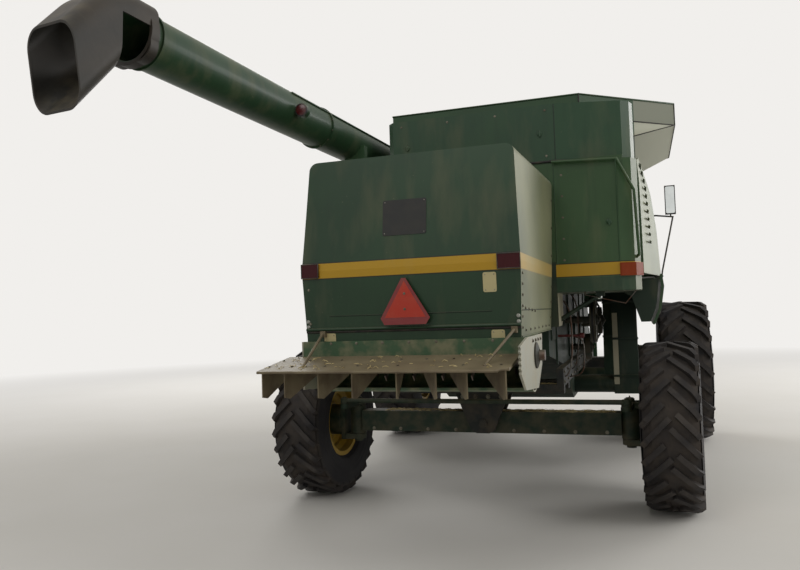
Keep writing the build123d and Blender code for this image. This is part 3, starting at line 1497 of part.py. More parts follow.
def pane(x_span, y_span, z_span, seat_axes):
    """A pane of glass, a seat's gap short of its opening along the two axes named."""
    spans = [x_span, y_span, z_span]
    for axis in seat_axes:
        low, high = spans[axis]
        spans[axis] = (low + glass_seat, high - glass_seat)
    block(*spans)


with BuildPart() as cab_glass:
    pane_x = cab_half_width - cab_post / 2
    pane(
        (-cab_half_width + cab_post, cab_half_width - cab_post),
        (cab_front_y - 38, cab_front_y - 38 + glass_thickness), (cab_inner_z, rail_z), (0, 2),
    )
    pane((pane_x, pane_x + glass_thickness), (window_rear_y, cab_front_y - cab_post), window_z, (1, 2))
    pane((-pane_x - glass_thickness, -pane_x), (quarter_glass_y, cab_front_y - cab_post), window_z, (1, 2))
    pane(
        (-rear_window_half_width, rear_window_half_width),
        (cab_rear_y + 16, cab_rear_y + 16 + glass_thickness), rear_window_z, (0, 2),
    )
write(cab_glass, "cab_glass")

# Cab door on the left, hinged at its rear edge
leaf_y = (door_rear_y + door_gap, door_front_y - door_latch_gap)
leaf_z = (door_z[0] + door_gap, door_z[1] - door_gap)
door_window_y = (leaf_y[0] + door_frame_width, leaf_y[1] - door_frame_width)
door_window_z = (leaf_z[0] + 80, leaf_z[1] - 80)
with BuildPart() as cab_door:
    block((cab_x[0], cab_x[0] + door_thickness), leaf_y, leaf_z)
    block((cab_x[0] - 1, cab_x[0] + door_thickness + 1), door_window_y, door_window_z, Mode.SUBTRACT)
    for z in door_hinge_z:
        block((door_hinge_x - 4, cab_x[0] + 1), (door_rear_y, door_rear_y + 60), (z - 39, z + 39))
        bar((door_hinge_x, door_rear_y, z - 39), (door_hinge_x, door_rear_y, z + 39), hinge_barrel_radius)
        bar(
            (door_hinge_x, door_rear_y, z - 40), (door_hinge_x, door_rear_y, z + 40),
            hinge_pin_radius + hinge_clearance, Mode.SUBTRACT,
        )
    block((cab_x[0] - 34, cab_x[0] - 22), (leaf_y[1] - 45, leaf_y[1] - 25), (2560, 2720))
    for z in (2565, 2700):
        block((cab_x[0] - 30, cab_x[0] + 1), (leaf_y[1] - 42, leaf_y[1] - 28), (z, z + 15))
write(cab_door, "cab_door")

with BuildPart() as cab_door_glass:
    pane((cab_x[0] + 20, cab_x[0] + 20 + glass_thickness), door_window_y, door_window_z, (1, 2))
write(cab_door_glass, "cab_door_glass")

# Driver's seat, steering column and wheel on the cab floor
seat_y = cab_rear_y + 560
wheel_y = seat_y + 560
wheel_z = cab_inner_z + 720
with BuildPart() as driver_station:
    block((-170, 170), (seat_y - 160, seat_y + 160), (cab_inner_z, cab_inner_z + 360))
    block((-250, 250), (seat_y - 250, seat_y + 250), (cab_inner_z + 359, cab_inner_z + 490))
    across(
        (
            (seat_y - 250, cab_inner_z + 440), (seat_y - 130, cab_inner_z + 440),
            (seat_y - 220, cab_inner_z + 1060), (seat_y - 320, cab_inner_z + 1060),
        ),
        (-240, 240),
    )
    block((-80, 80), (wheel_y + 80, wheel_y + 240), (cab_inner_z, cab_inner_z + 90))
    bar((0, wheel_y + 165, cab_inner_z + 60), (0, wheel_y, wheel_z), 45)
    column_line = Vector(0, -180, wheel_z - cab_inner_z).normalized()
    with BuildSketch(
        Plane(origin=(0, wheel_y, wheel_z), x_dir=(1, 0, 0), z_dir=Vector(1, 0, 0).cross(column_line))
    ):
        with Locations((steering_wheel_radius, 0)):
            RegularPolygon(14, 8)
    revolve(axis=Axis((0, wheel_y, wheel_z), column_line))
    with Locations(Plane(origin=(0, wheel_y, wheel_z), z_dir=column_line)):
        Box(2 * steering_wheel_radius, 30, 16)
write(driver_station, "driver_station")

# Mirrors on arms from the cab, each stayed down to the platform
with BuildPart() as mirrors:
    for side in (-1, 1):
        deck_edge = deck_right_x if side > 0 else -deck_left_x
        # Columns: x and z of the tube from the cab out to the mirror and down to the platform
        arm = (
            (cab_half_width + 0.3, mirror_arm_z + 34), (mirror_arm_x, mirror_arm_z + 34),
            (mirror_x + 28, mirror_arm_z), (mirror_stay_x, mirror_stay_z),
            (deck_edge + 50, platform_z[0] + 15), (deck_edge + 0.3, platform_z[0] + 15),
        )
        bent_rod([(side * x, mirror_y, z) for x, z in arm], 12)
        bar((side * mirror_x, mirror_y, mirror_arm_z + 4), (side * mirror_x, mirror_y, mirror_z[0] + 30), 10)
        block(
            sorted((side * (mirror_x - mirror_width / 2), side * (mirror_x + mirror_width / 2))),
            (mirror_y - 20, mirror_y + 20),
            mirror_z,
        )
write(mirrors, "mirrors")
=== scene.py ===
# %% [markdown]
# A combine harvester, seen from behind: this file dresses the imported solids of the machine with
# finishes and small fittings. The solids give every large shape. What is added here is what a
# sheet-metal shop and an assembly line would add last: seams, bolts, plates, lamps, seals, tread
# plate, the driver's seat, and then a season of dust and straw.

# %% Load the frame
import bmesh
import bpy
import math
import random
from mathutils import Matrix, Vector
from mathutils.bvhtree import BVHTree


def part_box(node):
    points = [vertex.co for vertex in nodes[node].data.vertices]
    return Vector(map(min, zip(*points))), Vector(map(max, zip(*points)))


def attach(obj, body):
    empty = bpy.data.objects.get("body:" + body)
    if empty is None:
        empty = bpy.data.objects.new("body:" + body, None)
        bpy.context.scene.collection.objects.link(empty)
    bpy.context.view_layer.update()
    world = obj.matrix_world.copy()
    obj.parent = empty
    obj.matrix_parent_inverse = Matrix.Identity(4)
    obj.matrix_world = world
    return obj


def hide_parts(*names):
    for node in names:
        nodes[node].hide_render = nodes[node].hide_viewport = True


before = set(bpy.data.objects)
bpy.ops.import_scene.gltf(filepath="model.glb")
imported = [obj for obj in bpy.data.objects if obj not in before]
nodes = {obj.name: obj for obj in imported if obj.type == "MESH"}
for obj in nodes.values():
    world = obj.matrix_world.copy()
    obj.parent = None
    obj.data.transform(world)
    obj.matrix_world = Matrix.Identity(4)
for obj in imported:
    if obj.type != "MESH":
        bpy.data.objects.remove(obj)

scene = bpy.context.scene
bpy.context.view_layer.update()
scene.view_settings.view_transform = "Standard"

# %% [markdown]
# Colours are written as sRGB hex values, as on a paint card, and turned to linear light once.
# One helper adds a shader node with its settings and links, so a material reads as a short list.

# %% Colour and node helpers


def linear(code):
    """An sRGB hex value as linear red, green, blue and alpha."""
    parts = [int(code[i:i + 2], 16) / 255 for i in (1, 3, 5)]
    return tuple(c / 12.92 if c <= 0.04045 else ((c + 0.055) / 1.055) ** 2.4 for c in parts) + (1.0,)


def add(tree, kind, settings=(), links=()):
    """One shader node, with its settings and its incoming links, each by name or by index."""
    node = tree.nodes.new("ShaderNode" + kind)
    for key, value in dict(settings).items():
        if isinstance(key, str) and hasattr(node, key):
            setattr(node, key, value)
        else:
            node.inputs[key].default_value = value
    for key, source in dict(links).items():
        tree.links.new(source, node.inputs[key])
    return node


def start(name, roughness, metallic=0.0):
    """A material with its shader, and the place on the machine in metres."""
    material = bpy.data.materials.new(name)
    material.use_nodes = True
    tree = material.node_tree
    shader = tree.nodes["Principled BSDF"]
    shader.inputs["Roughness"].default_value = roughness
    shader.inputs["Metallic"].default_value = metallic
    place = add(tree, "TexCoord").outputs["Object"]
    return material, tree, shader, place


# %% [markdown]
# Weather and paint are laid on by masks, which are values from 0 to 1: patches of noise of one real
# size, bands between two heights, and whatever faces up or sideways. A mask then lays one colour over
# another, or raises the surface by a real depth.

# %% Masks


def blotches(tree, place, size_mm, low, high, detail=4.0, stretch=(1, 1, 1)):
    """A soft mask from 0 to 1 with patches of about one size, cut between two levels of noise."""
    spot = add(tree, "Mapping", {"Scale": stretch}, {"Vector": place}).outputs["Vector"]
    noise = add(tree, "TexNoise", {"Scale": 1000 / size_mm, "Detail": detail}, {"Vector": spot})
    return add(
        tree, "MapRange", {"From Min": low, "From Max": high}, {"Value": noise.outputs["Fac"]}
    ).outputs["Result"]


def along_axis(tree, place, axis):
    """One coordinate of the place."""
    return add(tree, "SeparateXYZ", (), {"Vector": place}).outputs[axis]


def ramp(tree, value, low, high, to_low=0.0, to_high=1.0):
    """A value carried from one range to another, and held at its ends."""
    settings = {"From Min": low, "From Max": high, "To Min": to_low, "To Max": to_high}
    return add(tree, "MapRange", settings, {"Value": value}).outputs["Result"]


def sums(tree, operation, first, second):
    """Arithmetic on two masks, or on a mask and a number."""
    settings = {"operation": operation}
    links = {0: first}
    if isinstance(second, (int, float)):
        settings[1] = second
    else:
        links[1] = second
    return add(tree, "Math", settings, links).outputs["Value"]


def band(tree, place, axis, low, high, soft=0.002):
    """A mask that is 1 between two places along one axis, in metres."""
    apart = along_axis(tree, place, axis)
    rise = ramp(tree, apart, low - soft, low + soft)
    return sums(tree, "MULTIPLY", rise, ramp(tree, apart, high - soft, high + soft, 1.0, 0.0))


def facing(tree, axis, sharp=3.0, sign=1.0):
    """A mask of the surfaces that face one way, such as those that face the sky."""
    normal = add(tree, "NewGeometry").outputs["Normal"]
    along = sums(tree, "MULTIPLY", along_axis(tree, normal, axis), sign)
    return sums(tree, "POWER", sums(tree, "MAXIMUM", along, 0.0), sharp)


def times(tree, mask, amount, other=None):
    """One mask scaled by an amount, and by another mask where there is one."""
    scaled = sums(tree, "MULTIPLY", mask, amount)
    return scaled if other is None else sums(tree, "MULTIPLY", scaled, other)


def over(tree, under, code, mask):
    """A colour laid over another where its mask is 1. The colour under it is a hex value or a socket."""
    mix = add(tree, "Mix", {"data_type": "RGBA"}, {0: mask})
    mix.inputs[7].default_value = linear(code)
    if isinstance(under, str):
        mix.inputs[6].default_value = linear(under)
    else:
        tree.links.new(under, mix.inputs[6])
    return mix.outputs[2]


def bump(tree, height, depth_mm, shader, strength=1.0):
    """Relief of a real depth, from a mask."""
    settings = {"Distance": depth_mm / 1000, "Strength": strength}
    relief = add(tree, "Bump", settings, {"Height": height})
    tree.links.new(relief.outputs["Normal"], shader.inputs["Normal"])


STRAW_DUST = "#9c8f70"
DRY_MUD = "#6f604b"

# %% [markdown]
# Green enamel: an alkyd tractor paint, sprayed over pressed sheet and faded by sun. It is never one
# even green: big soft fades, fine rain streaks and straw dust on every ledge tell the eye how large
# the panels are. A pale painted highlight covers what faces +X, standing in for the glare of light low
# on the right. The yellow band and its dark edge lines are painted on, so they are masks by height in
# the material.

# %% Green enamel
GREEN, GREEN_FADED, GREEN_DEEP = "#213d23", "#30502f", "#15271a"
GREEN_STRIP, PAINTED_HIGHLIGHT_PALE, PRIMER = "#1f3626", "#94926f", "#6a6a55"
BAND_YELLOW, BAND_EDGE = "#b08a20", "#141a12"
BAND_Z = (2.026, 2.126)
BAND_LINE = 0.007
BAND_END_Y, BAND_START_Y = -1.55, -5.0
STRIP_Z = (1.0, 2.012)
FADE_MM, STREAK_MM, GRIME_MM, LEDGE_MM, CHIP_MM, DENT_MM = 900, 60, 140, 420, 14, 350


def enamel(
    name, base, faded, deep=GREEN_DEEP, dust=0.5, roughness=0.46, sheen=0.12, right_side_highlight=0.0,
    stripe=False, low_strip=False,
):
    """Sprayed enamel: fades, rain streaks, grime, dust on ledges, small chips, and a painted highlight on
    what faces +X.
    """
    material, tree, shader, place = start(name, roughness)
    colour = over(tree, base, faded, times(tree, blotches(tree, place, FADE_MM, 0.42, 0.68), 0.5))
    streaks = blotches(tree, place, STREAK_MM, 0.5, 0.8, stretch=(1, 1, 0.08))
    colour = over(tree, colour, deep, times(tree, streaks, 0.3))
    # The side panels are a darker green from z 1.0 up to z 2.012, below the yellow band
    if low_strip:
        strip = band(tree, place, "Z", *STRIP_Z)
        colour = over(tree, colour, GREEN_STRIP, times(tree, strip, 0.8))
    if stripe:
        low, high = BAND_Z
        rear = band(tree, place, "Y", BAND_START_Y, BAND_END_Y)
        edged = band(tree, place, "Z", low - BAND_LINE, high + BAND_LINE)
        colour = over(tree, colour, BAND_EDGE, sums(tree, "MULTIPLY", rear, edged))
        painted = band(tree, place, "Z", low, high)
        colour = over(tree, colour, BAND_YELLOW, sums(tree, "MULTIPLY", rear, painted))
    patches = blotches(tree, place, GRIME_MM, 0.5, 0.72, stretch=(1, 1, 0.25))
    grime = times(tree, patches, 0.2 * dust)
    colour = over(tree, colour, STRAW_DUST, grime)
    # Painted highlight: a pale film, in patches, on what faces +X, standing in for the glare of light low
    # on the right
    if right_side_highlight:
        film = blotches(tree, place, FADE_MM, 0.1, 0.7)
        colour = over(tree, colour, PAINTED_HIGHLIGHT_PALE, times(tree, facing(tree, "X", 6.0), right_side_highlight, film))
    lain = blotches(tree, place, LEDGE_MM, 0.15, 0.85, detail=9.0)
    ledge = times(tree, facing(tree, "Z"), 0.62 * dust, lain)
    colour = over(tree, colour, STRAW_DUST, ledge)
    # Chips along the work: bare primer spots a few millimetres wide, in some places only
    chips = blotches(tree, place, CHIP_MM, 0.74, 0.76, detail=2.0)
    worked = blotches(tree, place, 500, 0.5, 0.6)
    colour = over(tree, colour, PRIMER, times(tree, chips, 0.5, worked))
    tree.links.new(colour, shader.inputs["Base Color"])
    worn = ramp(tree, sums(tree, "ADD", grime, ledge), 0.0, 1.0, roughness, roughness + 0.35)
    tree.links.new(worn, shader.inputs["Roughness"])
    gloss = {
        "Specular IOR Level": 0.28, "Coat Weight": 0.08, "Coat Roughness": 0.18,
        "Sheen Weight": sheen, "Sheen Roughness": 0.28, "Sheen Tint": linear("#cfcbb4"),
    }
    for socket, value in gloss.items():
        shader.inputs[socket].default_value = value
    bump(tree, blotches(tree, place, DENT_MM, 0.3, 0.7, detail=1.0), 1.2, shader, 0.35)
    return material


green = enamel("green_enamel_sprayed", GREEN, GREEN_FADED)
# Painted shade and light: the hood's green is darker, as shade on its rear face, and the side panels' and
# the cover's greens are lighter, as light falling from the right
green_hood = enamel("green_enamel_hood", "#1c3520", "#27442a", sheen=0.35, right_side_highlight=0.65, stripe=True)
green_sides = enamel(
    "green_enamel_sides", "#2c4727", "#3c5636", sheen=0.2, right_side_highlight=0.6, stripe=True, low_strip=True
)
green_cover = enamel("green_enamel_cover", "#24402a", "#38532f", sheen=0.2, right_side_highlight=0.3)
green_dusty = enamel("green_enamel_dusty", "#213d26", "#2b4a2c", dust=0.35, roughness=0.5)
# Painted shade: a near-black green for the separator, the elevators and the plates and ribs in the bays,
# which stand in deep shade. The hood's laps and the cover's seams use it too
green_shade = enamel(
    "green_enamel_painted_shade", "#16271a", "#1c3020", "#0f1b12", dust=0.6, roughness=0.6, sheen=0.0
)
green_tube = enamel("green_enamel_chalked", "#223c26", "#30492f", dust=0.6, roughness=0.5)
yellow = enamel("yellow_enamel_wheels", "#a68420", "#b59a42", "#5e4a18", dust=1.0, sheen=0.05)
print("enamels", [m.name for m in (green, green_hood, green_sides, green_cover, green_dusty)])

# %% [markdown]
# Black chassis enamel: thick brushed paint on rolled steel, dulled by mud flung from the wheels.
# The mud lies thickest low down, so its mask is noise times height, and its edges are soft.

# %% Chassis enamel


def chassis_paint(name, base, mud=0.4, roughness=0.65):
    """Brushed black enamel with mud spatter, thickest below, and straw dust on what faces up."""
    material, tree, shader, place = start(name, roughness)
    spatter = blotches(tree, place, 120, 0.38, 0.75, detail=8.0)
    low = ramp(tree, along_axis(tree, place, "Z"), 0.4, 1.9, 1.0, 0.2)
    colour = over(tree, base, DRY_MUD, times(tree, spatter, mud, low))
    lain = blotches(tree, place, 300, 0.15, 0.85, detail=9.0)
    colour = over(tree, colour, STRAW_DUST, times(tree, facing(tree, "Z"), 0.55, lain))
    tree.links.new(colour, shader.inputs["Base Color"])
    shader.inputs["Specular IOR Level"].default_value = 0.3
    bump(tree, spatter, 0.8, shader, 0.6)
    return material


black = chassis_paint("black_enamel_chassis", "#1a1e1c")
dark_green = chassis_paint("dark_green_enamel_axle", "#1a2a1d", mud=0.45)
casting = chassis_paint("grey_iron_casting", "#33342f", mud=0.35, roughness=0.7)
drive_steel = chassis_paint("pulley_enamel_worn", "#33352b", mud=0.5, roughness=0.55)
print("chassis paints", [m.name for m in (black, dark_green, casting, drive_steel)])

# %% [markdown]
# The spout is moulded rubber and sheet, black when new and now brown with grain dust. Long soft
# smears run down it, so its noise is stretched along its fall.

# %% Spout finish
spout_black, tree, shader, place = start("spout_moulding_dusty", 0.55)
smears = blotches(tree, place, 260, 0.35, 0.7, stretch=(1, 0.5, 0.6))
colour = over(tree, "#24231f", "#4a4137", times(tree, smears, 0.6))
lain = blotches(tree, place, 90, 0.35, 0.7)
colour = over(tree, colour, STRAW_DUST, times(tree, facing(tree, "Z", 2.0), 0.3, lain))
# Painted shade: what faces down is darkened towards near black
colour = over(tree, colour, "#0d0d0c", times(tree, facing(tree, "Z", 1.5, -1.0), 0.6))
tree.links.new(colour, shader.inputs["Base Color"])
shader.inputs["Specular IOR Level"].default_value = 0.35
bump(tree, blotches(tree, place, 120, 0.3, 0.7, detail=6.0), 2.5, shader, 0.5)
print(spout_black.name)

# %% [markdown]
# Tyre rubber: moulded natural rubber with carbon black, bleached grey by sun and scuffed pale on
# the lugs. Dried earth stays in the grooves between the lugs, which a mask by radius gives.

# %% Tyre rubber
LUG_SHARE = 0.048


def from_axle(tree, place, centre):
    """Distance from a wheel's or pulley's axle, which runs across the machine."""
    apart = add(tree, "VectorMath", {"operation": "SUBTRACT", 1: centre}, {0: place})
    settings = {"operation": "MULTIPLY", 1: (0.0, 1.0, 1.0)}
    flat = add(tree, "VectorMath", settings, {0: apart.outputs["Vector"]})
    length = add(tree, "VectorMath", {"operation": "LENGTH"}, {0: flat.outputs["Vector"]})
    return length.outputs["Value"]


def tyre_rubber(name, centre, radius):
    """Rubber with earth in the grooves and pale scuffs on the lugs' crowns."""
    material, tree, shader, place = start(name, 0.8)
    grip = radius * LUG_SHARE
    distance = from_axle(tree, place, centre)
    groove = ramp(tree, distance, radius - grip * 0.2, radius - grip)
    crown = ramp(tree, distance, radius - 3.2 * grip, radius - 2.0 * grip)
    patches = blotches(tree, place, 160, 0.3, 0.75, detail=8.0)
    bleached = blotches(tree, place, 400, 0.35, 0.7)
    colour = over(tree, "#1f1e20", "#363434", times(tree, bleached, 0.6))
    colour = over(tree, colour, "#5b5044", times(tree, times(tree, groove, 0.5, crown), 1.0, patches))
    scuff = ramp(tree, distance, radius - 0.018, radius - 0.004)
    colour = over(tree, colour, "#5a534c", times(tree, scuff, 0.6, patches))
    tree.links.new(colour, shader.inputs["Base Color"])
    shader.inputs["Specular IOR Level"].default_value = 0.3
    bump(tree, blotches(tree, place, 12, 0.3, 0.7), 0.5, shader, 0.5)
    return material


# %% [markdown]
# The other stock: galvanised and bare sheet, polished rods, moulded plastics, films and smooth
# paints. Each is named for the real finish.

# %% Bare metals and plastics


def sheet_metal(name, base, worn, roughness, metallic, dust):
    """Bare or zinc-coated sheet, duller in patches, with straw dust on what faces up."""
    material, tree, shader, place = start(name, roughness, metallic)
    colour = over(tree, base, worn, blotches(tree, place, 120, 0.4, 0.65))
    lain = blotches(tree, place, 240, 0.1, 0.9, detail=9.0)
    colour = over(tree, colour, STRAW_DUST, times(tree, facing(tree, "Z", 1.5), dust, lain))
    tree.links.new(colour, shader.inputs["Base Color"])
    bump(tree, blotches(tree, place, 8, 0.3, 0.7), 0.2, shader, 0.4)
    return material


def moulded(name, base, roughness, dust=0.3, patch_mm=80):
    """A plastic, lens, film, rubber or smooth paint, with dust in soft patches."""
    material, tree, shader, place = start(name, roughness)
    patches = blotches(tree, place, patch_mm, 0.4, 0.8, detail=8.0)
    colour = over(tree, base, STRAW_DUST, times(tree, patches, dust))
    tree.links.new(colour, shader.inputs["Base Color"])
    bump(tree, blotches(tree, place, 2, 0.3, 0.7), 0.15, shader, 0.4)
    return material


board_steel = sheet_metal("sheet_steel_straw_polished", "#6e634b", "#564a36", 0.6, 0.1, 0.45)
galvanised = sheet_metal("sheet_zinc_weathered", "#8f918a", "#a3a398", 0.5, 0.5, 0.5)
blade_steel = sheet_metal("knife_steel_bare", "#6d6a64", "#5e4436", 0.45, 0.8, 0.4)
bare_steel = sheet_metal("bearing_steel", "#85837d", "#6d665c", 0.38, 0.9, 0.3)
zinc_bolt = sheet_metal("bolt_zinc_yellowed", "#6f6c5e", "#4f483c", 0.45, 0.7, 0.3)
rod_chrome = sheet_metal("hard_chrome_rod", "#c9cbcc", "#b9bbbc", 0.12, 1.0, 0.1)
mirror_face = sheet_metal("mirror_silvered", "#d9dedd", "#cfd4d3", 0.04, 1.0, 0.1)
lamp_maroon = moulded("acrylic_lens_maroon", "#4a1216", 0.25, dust=0.1)
lamp_amber = moulded("acrylic_lens_amber", "#7a2c0e", 0.45, dust=0.1)
lamp_clear = moulded("glass_lens_fluted", "#b9b6a6", 0.15, dust=0.2)
orange_film = moulded("fluorescent_film_orange", "#ab2a10", 0.55, dust=0.08)
red_film = moulded("reflective_film_red", "#7a1a1c", 0.35, dust=0.08)
black_plastic = moulded("polypropylene_black", "#1c1c1d", 0.55)
roof_plastic = moulded("glass_fibre_roof", "#27442b", 0.75, dust=0.3, patch_mm=600)
plate_black = moulded("plate_enamel_black", "#0d0e0b", 0.65, dust=0.03)
plate_cream = moulded("plate_enamel_cream", "#b9ae80", 0.5, dust=0.25)
pale_paint = moulded("acrylic_enamel_pale", "#a9a48c", 0.5, dust=0.35)
red_enamel = moulded("acrylic_enamel_red", "#5c1518", 0.5, dust=0.35)
seal_rubber = moulded("seal_rubber_black", "#121212", 0.8, dust=0.15)
print("sheet, plastics and paints, materials so far", len(bpy.data.materials))

# %% [markdown]
# Three finishes that nothing else shares. The cab's panes are toughened glass with a slight tint. The
# seat's vinyl is an embossed film over foam, with a grain of about 4 mm that a bump of noise can
# give. Cut straw differs from nearly white to brown, so each place on it takes its own tone.

# %% Glass, vinyl and straw
glass, tree, shader, place = start("toughened_glass_tinted", 0.03)
# A thin pane bends no light that the eye could see, so it is drawn as a tinted clear film
shader.inputs["Alpha"].default_value = 0.22
dusted = times(tree, blotches(tree, place, 300, 0.45, 0.75), 0.3)
tree.links.new(over(tree, "#33423b", "#5f5a4c", dusted), shader.inputs["Base Color"])

vinyl, tree, shader, place = start("seat_vinyl_grained", 0.6)
colour = over(tree, "#2c2b29", "#3d3a35", blotches(tree, place, 60, 0.4, 0.6))
tree.links.new(colour, shader.inputs["Base Color"])
bump(tree, blotches(tree, place, 4, 0.3, 0.7), 0.5, shader, 0.7)

straw, tree, shader, place = start("straw_dry_stems", 0.7)
colour = over(tree, "#a08d5c", "#d2c08a", blotches(tree, place, 30, 0.4, 0.6))
colour = over(tree, colour, "#5d4c2d", blotches(tree, place, 70, 0.55, 0.7))
tree.links.new(colour, shader.inputs["Base Color"])
print("materials", len(bpy.data.materials))

# %% [markdown]
# Some solids carry more than one real finish, parted by masks of place. The lamps are maroon on the
# hood and amber at the body's corners. On the drives, what lies outside every pulley's own circle is
# belt, so the pulleys' table gives the belts their rubber.

# %% Lamps and drives
REAR_AXLE_Y = -0.998
CORNER_LAMPS_X = (1.0, 1.1)
LENS_RIB_MM = 9
# Columns: side, y from the rear axle, z, pulley radius, x of its outer face, in metres
PULLEYS = (
    (1, 0.70, 1.65, 0.23, 1.00), (1, 1.75, 1.62, 0.15, 1.00), (1, 2.75, 1.56, 0.26, 1.06),
    (1, 1.25, 1.35, 0.14, 0.90),
    (-1, 0.50, 1.62, 0.21, 1.04), (-1, 1.50, 1.70, 0.28, 1.04), (-1, 2.60, 1.60, 0.24, 1.04),
    (-1, 1.90, 1.34, 0.15, 0.90),
)


def from_middle(tree, place):
    """Distance from the machine's middle plane."""
    return sums(tree, "ABSOLUTE", along_axis(tree, place, "X"), 0.0)


lenses, tree, shader, place = start("acrylic_lens_ribbed", 0.5)
colour = over(tree, "#3a0e12", "#7c2e06", ramp(tree, from_middle(tree, place), *CORNER_LAMPS_X))
tree.links.new(colour, shader.inputs["Base Color"])
turns = sums(tree, "MULTIPLY", along_axis(tree, place, "X"), 2000 * math.pi / LENS_RIB_MM)
bump(tree, sums(tree, "SINE", turns, 0.0), 1.0, shader, 0.6)
shader.inputs["Specular IOR Level"].default_value = 0.2

drives, tree, shader, place = start("belts_and_pulleys", 0.6)
outside = None
for side, y, z, radius, outer_x in PULLEYS:
    distance = from_axle(tree, place, (side * outer_x, REAR_AXLE_Y + y, z))
    outwards = sums(tree, "MULTIPLY", along_axis(tree, place, "X"), side)
    other_side = ramp(tree, outwards, 0.0, 0.01, 1.0, 0.0)
    reach = sums(tree, "ADD", distance, other_side)
    beyond = ramp(tree, reach, radius + 0.0005, radius + 0.0015)
    outside = beyond if outside is None else sums(tree, "MULTIPLY", outside, beyond)
dirt = times(tree, blotches(tree, place, 90, 0.35, 0.7), 0.6)
colour = over(tree, over(tree, "#34382c", DRY_MUD, dirt), "#171615", outside)
tree.links.new(colour, shader.inputs["Base Color"])
bump(tree, blotches(tree, place, 10, 0.3, 0.7), 0.4, shader, 0.5)

print("parted finishes", lenses.name, drives.name)

# %% [markdown]
# The chopper housing ends in toothed plates of bare zinc sheet. The flared wall of the tank's
# extension carries a painted highlight, paler than the rest, in two tones parted by its rubber seal.

# %% Chopper housing and tank extension
TOOTHED_PLATES_X = (0.754, 0.757)
FLARED_WALL_X, FLARE_SEAM_Z = (1.445, 1.45), (3.598, 3.602)
housing, tree, shader, place = start("chopper_housing_mixed", 0.5)
plates = ramp(tree, from_middle(tree, place), *TOOTHED_PLATES_X)
dirt = times(tree, blotches(tree, place, 90, 0.4, 0.7), 0.45)
colour = over(tree, over(tree, "#2a4a2a", "#98988a", plates), STRAW_DUST, dirt)
tree.links.new(colour, shader.inputs["Base Color"])
bump(tree, blotches(tree, place, 20, 0.3, 0.7), 0.4, shader, 0.4)

# The flared wall's painted highlight is grey-green above the rubber seal and paler below it
extension, tree, shader, place = start("extension_enamel_painted_highlight", 0.5)
flared = ramp(tree, along_axis(tree, place, "X"), *FLARED_WALL_X)
lower = ramp(tree, along_axis(tree, place, "Z"), *FLARE_SEAM_Z, 1.0, 0.0)
faded = times(tree, blotches(tree, place, 700, 0.4, 0.7), 0.6)
colour = over(tree, over(tree, GREEN, GREEN_FADED, faded), "#7d8070", flared)
colour = over(tree, colour, "#b4b5a2", times(tree, flared, 0.8, lower))
colour = over(tree, colour, STRAW_DUST, times(tree, facing(tree, "Z"), 0.6))
tree.links.new(colour, shader.inputs["Base Color"])
shader.inputs["Specular IOR Level"].default_value = 0.35
bump(tree, blotches(tree, place, DENT_MM, 0.3, 0.7, detail=1.0), 1.2, shader, 0.35)
print("parted finishes", housing.name, extension.name)

# %% [markdown]
# Each solid takes the finish of its real part. Every tyre has a rubber of its own, because the earth
# in its grooves is placed by the distance from its own axle.

# %% Assign the finishes to the solids
finish_of = {
    "straw_hood": green_hood, "side_panels": green_sides, "side_shield_left": green,
    "side_shield_right": green, "separator_body": green_shade, "engine_cover": green_cover,
    "grain_tank": green, "tank_extension": extension, "elevators": green_shade,
    "auger_turret": green, "auger_tube": green_tube, "auger_spout": spout_black,
    "cab_frame": green, "cab_door": green, "cab_roof": roof_plastic, "cab_glass": glass,
    "cab_door_glass": glass, "driver_station": black_plastic, "mirrors": black_plastic,
    "feeder_house": green_dusty, "feeder_conveyor": bare_steel, "side_drives": drives,
    "chopper_housing": housing, "chopper_rotor": blade_steel, "tailboard": board_steel,
    "engine_block": casting, "rear_lamps": lenses, "slow_vehicle_triangle": red_film,
    "front_axle": black, "chassis_frame": black, "access_ladder": black, "lift_barrels": black,
    "lift_rods": rod_chrome, "rear_axle": dark_green, "knuckle_left": dark_green,
    "knuckle_right": dark_green, "tie_rod": dark_green,
}
for corner in ("front_left", "front_right", "rear_left", "rear_right"):
    end, side_name = corner.split("_")
    tyre = f"{end}_tyre_{side_name}"
    low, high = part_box(tyre)
    middle = tuple((a + b) / 2 for a, b in zip(low, high))
    finish_of[tyre] = tyre_rubber("rubber_" + tyre, middle, (high[2] - low[2]) / 2)
    finish_of[f"{end}_rim_{side_name}"] = yellow
for node_name, material in finish_of.items():
    nodes[node_name].data.materials.clear()
    nodes[node_name].data.materials.append(material)
print("finished nodes", len(finish_of), "left plain", sorted(set(nodes) - set(finish_of)))

# %% [markdown]
# The camera stands at the photograph's viewing point: behind the machine, a little to the right of
# its middle, 1.77 m up, with a 32 mm lens. The axes come from the turn, tilt and roll of that view.

# %% Camera
YAW, PITCH, ROLL = 0.324, 0.040, 0.034
EYE = (1.438, -6.707 + REAR_AXLE_Y, 1.771)
SENSOR_MM = 36.0
FOCAL_PX, PHOTO_WIDTH_PX = 716.3, 800
camera_data = bpy.data.cameras.new("camera")
camera = bpy.data.objects.new("camera", camera_data)
scene.collection.objects.link(camera)
camera_data.sensor_width = SENSOR_MM
camera_data.lens = SENSOR_MM * FOCAL_PX / PHOTO_WIDTH_PX
camera_data.clip_end = 200
ahead = Vector((-math.sin(YAW), math.cos(YAW), 0))
right = Vector((math.cos(YAW), math.sin(YAW), 0))
up = Vector((0, 0, 1))
look = ahead * math.cos(PITCH) + up * math.sin(PITCH)
upright = -ahead * math.sin(PITCH) + up * math.cos(PITCH)
camera_x = right * math.cos(ROLL) - upright * math.sin(ROLL)
camera_y = right * math.sin(ROLL) + upright * math.cos(ROLL)
turn = Matrix((camera_x, camera_y, -look)).transposed().to_4x4()
camera.matrix_world = Matrix.Translation(EYE) @ turn
scene.camera = camera
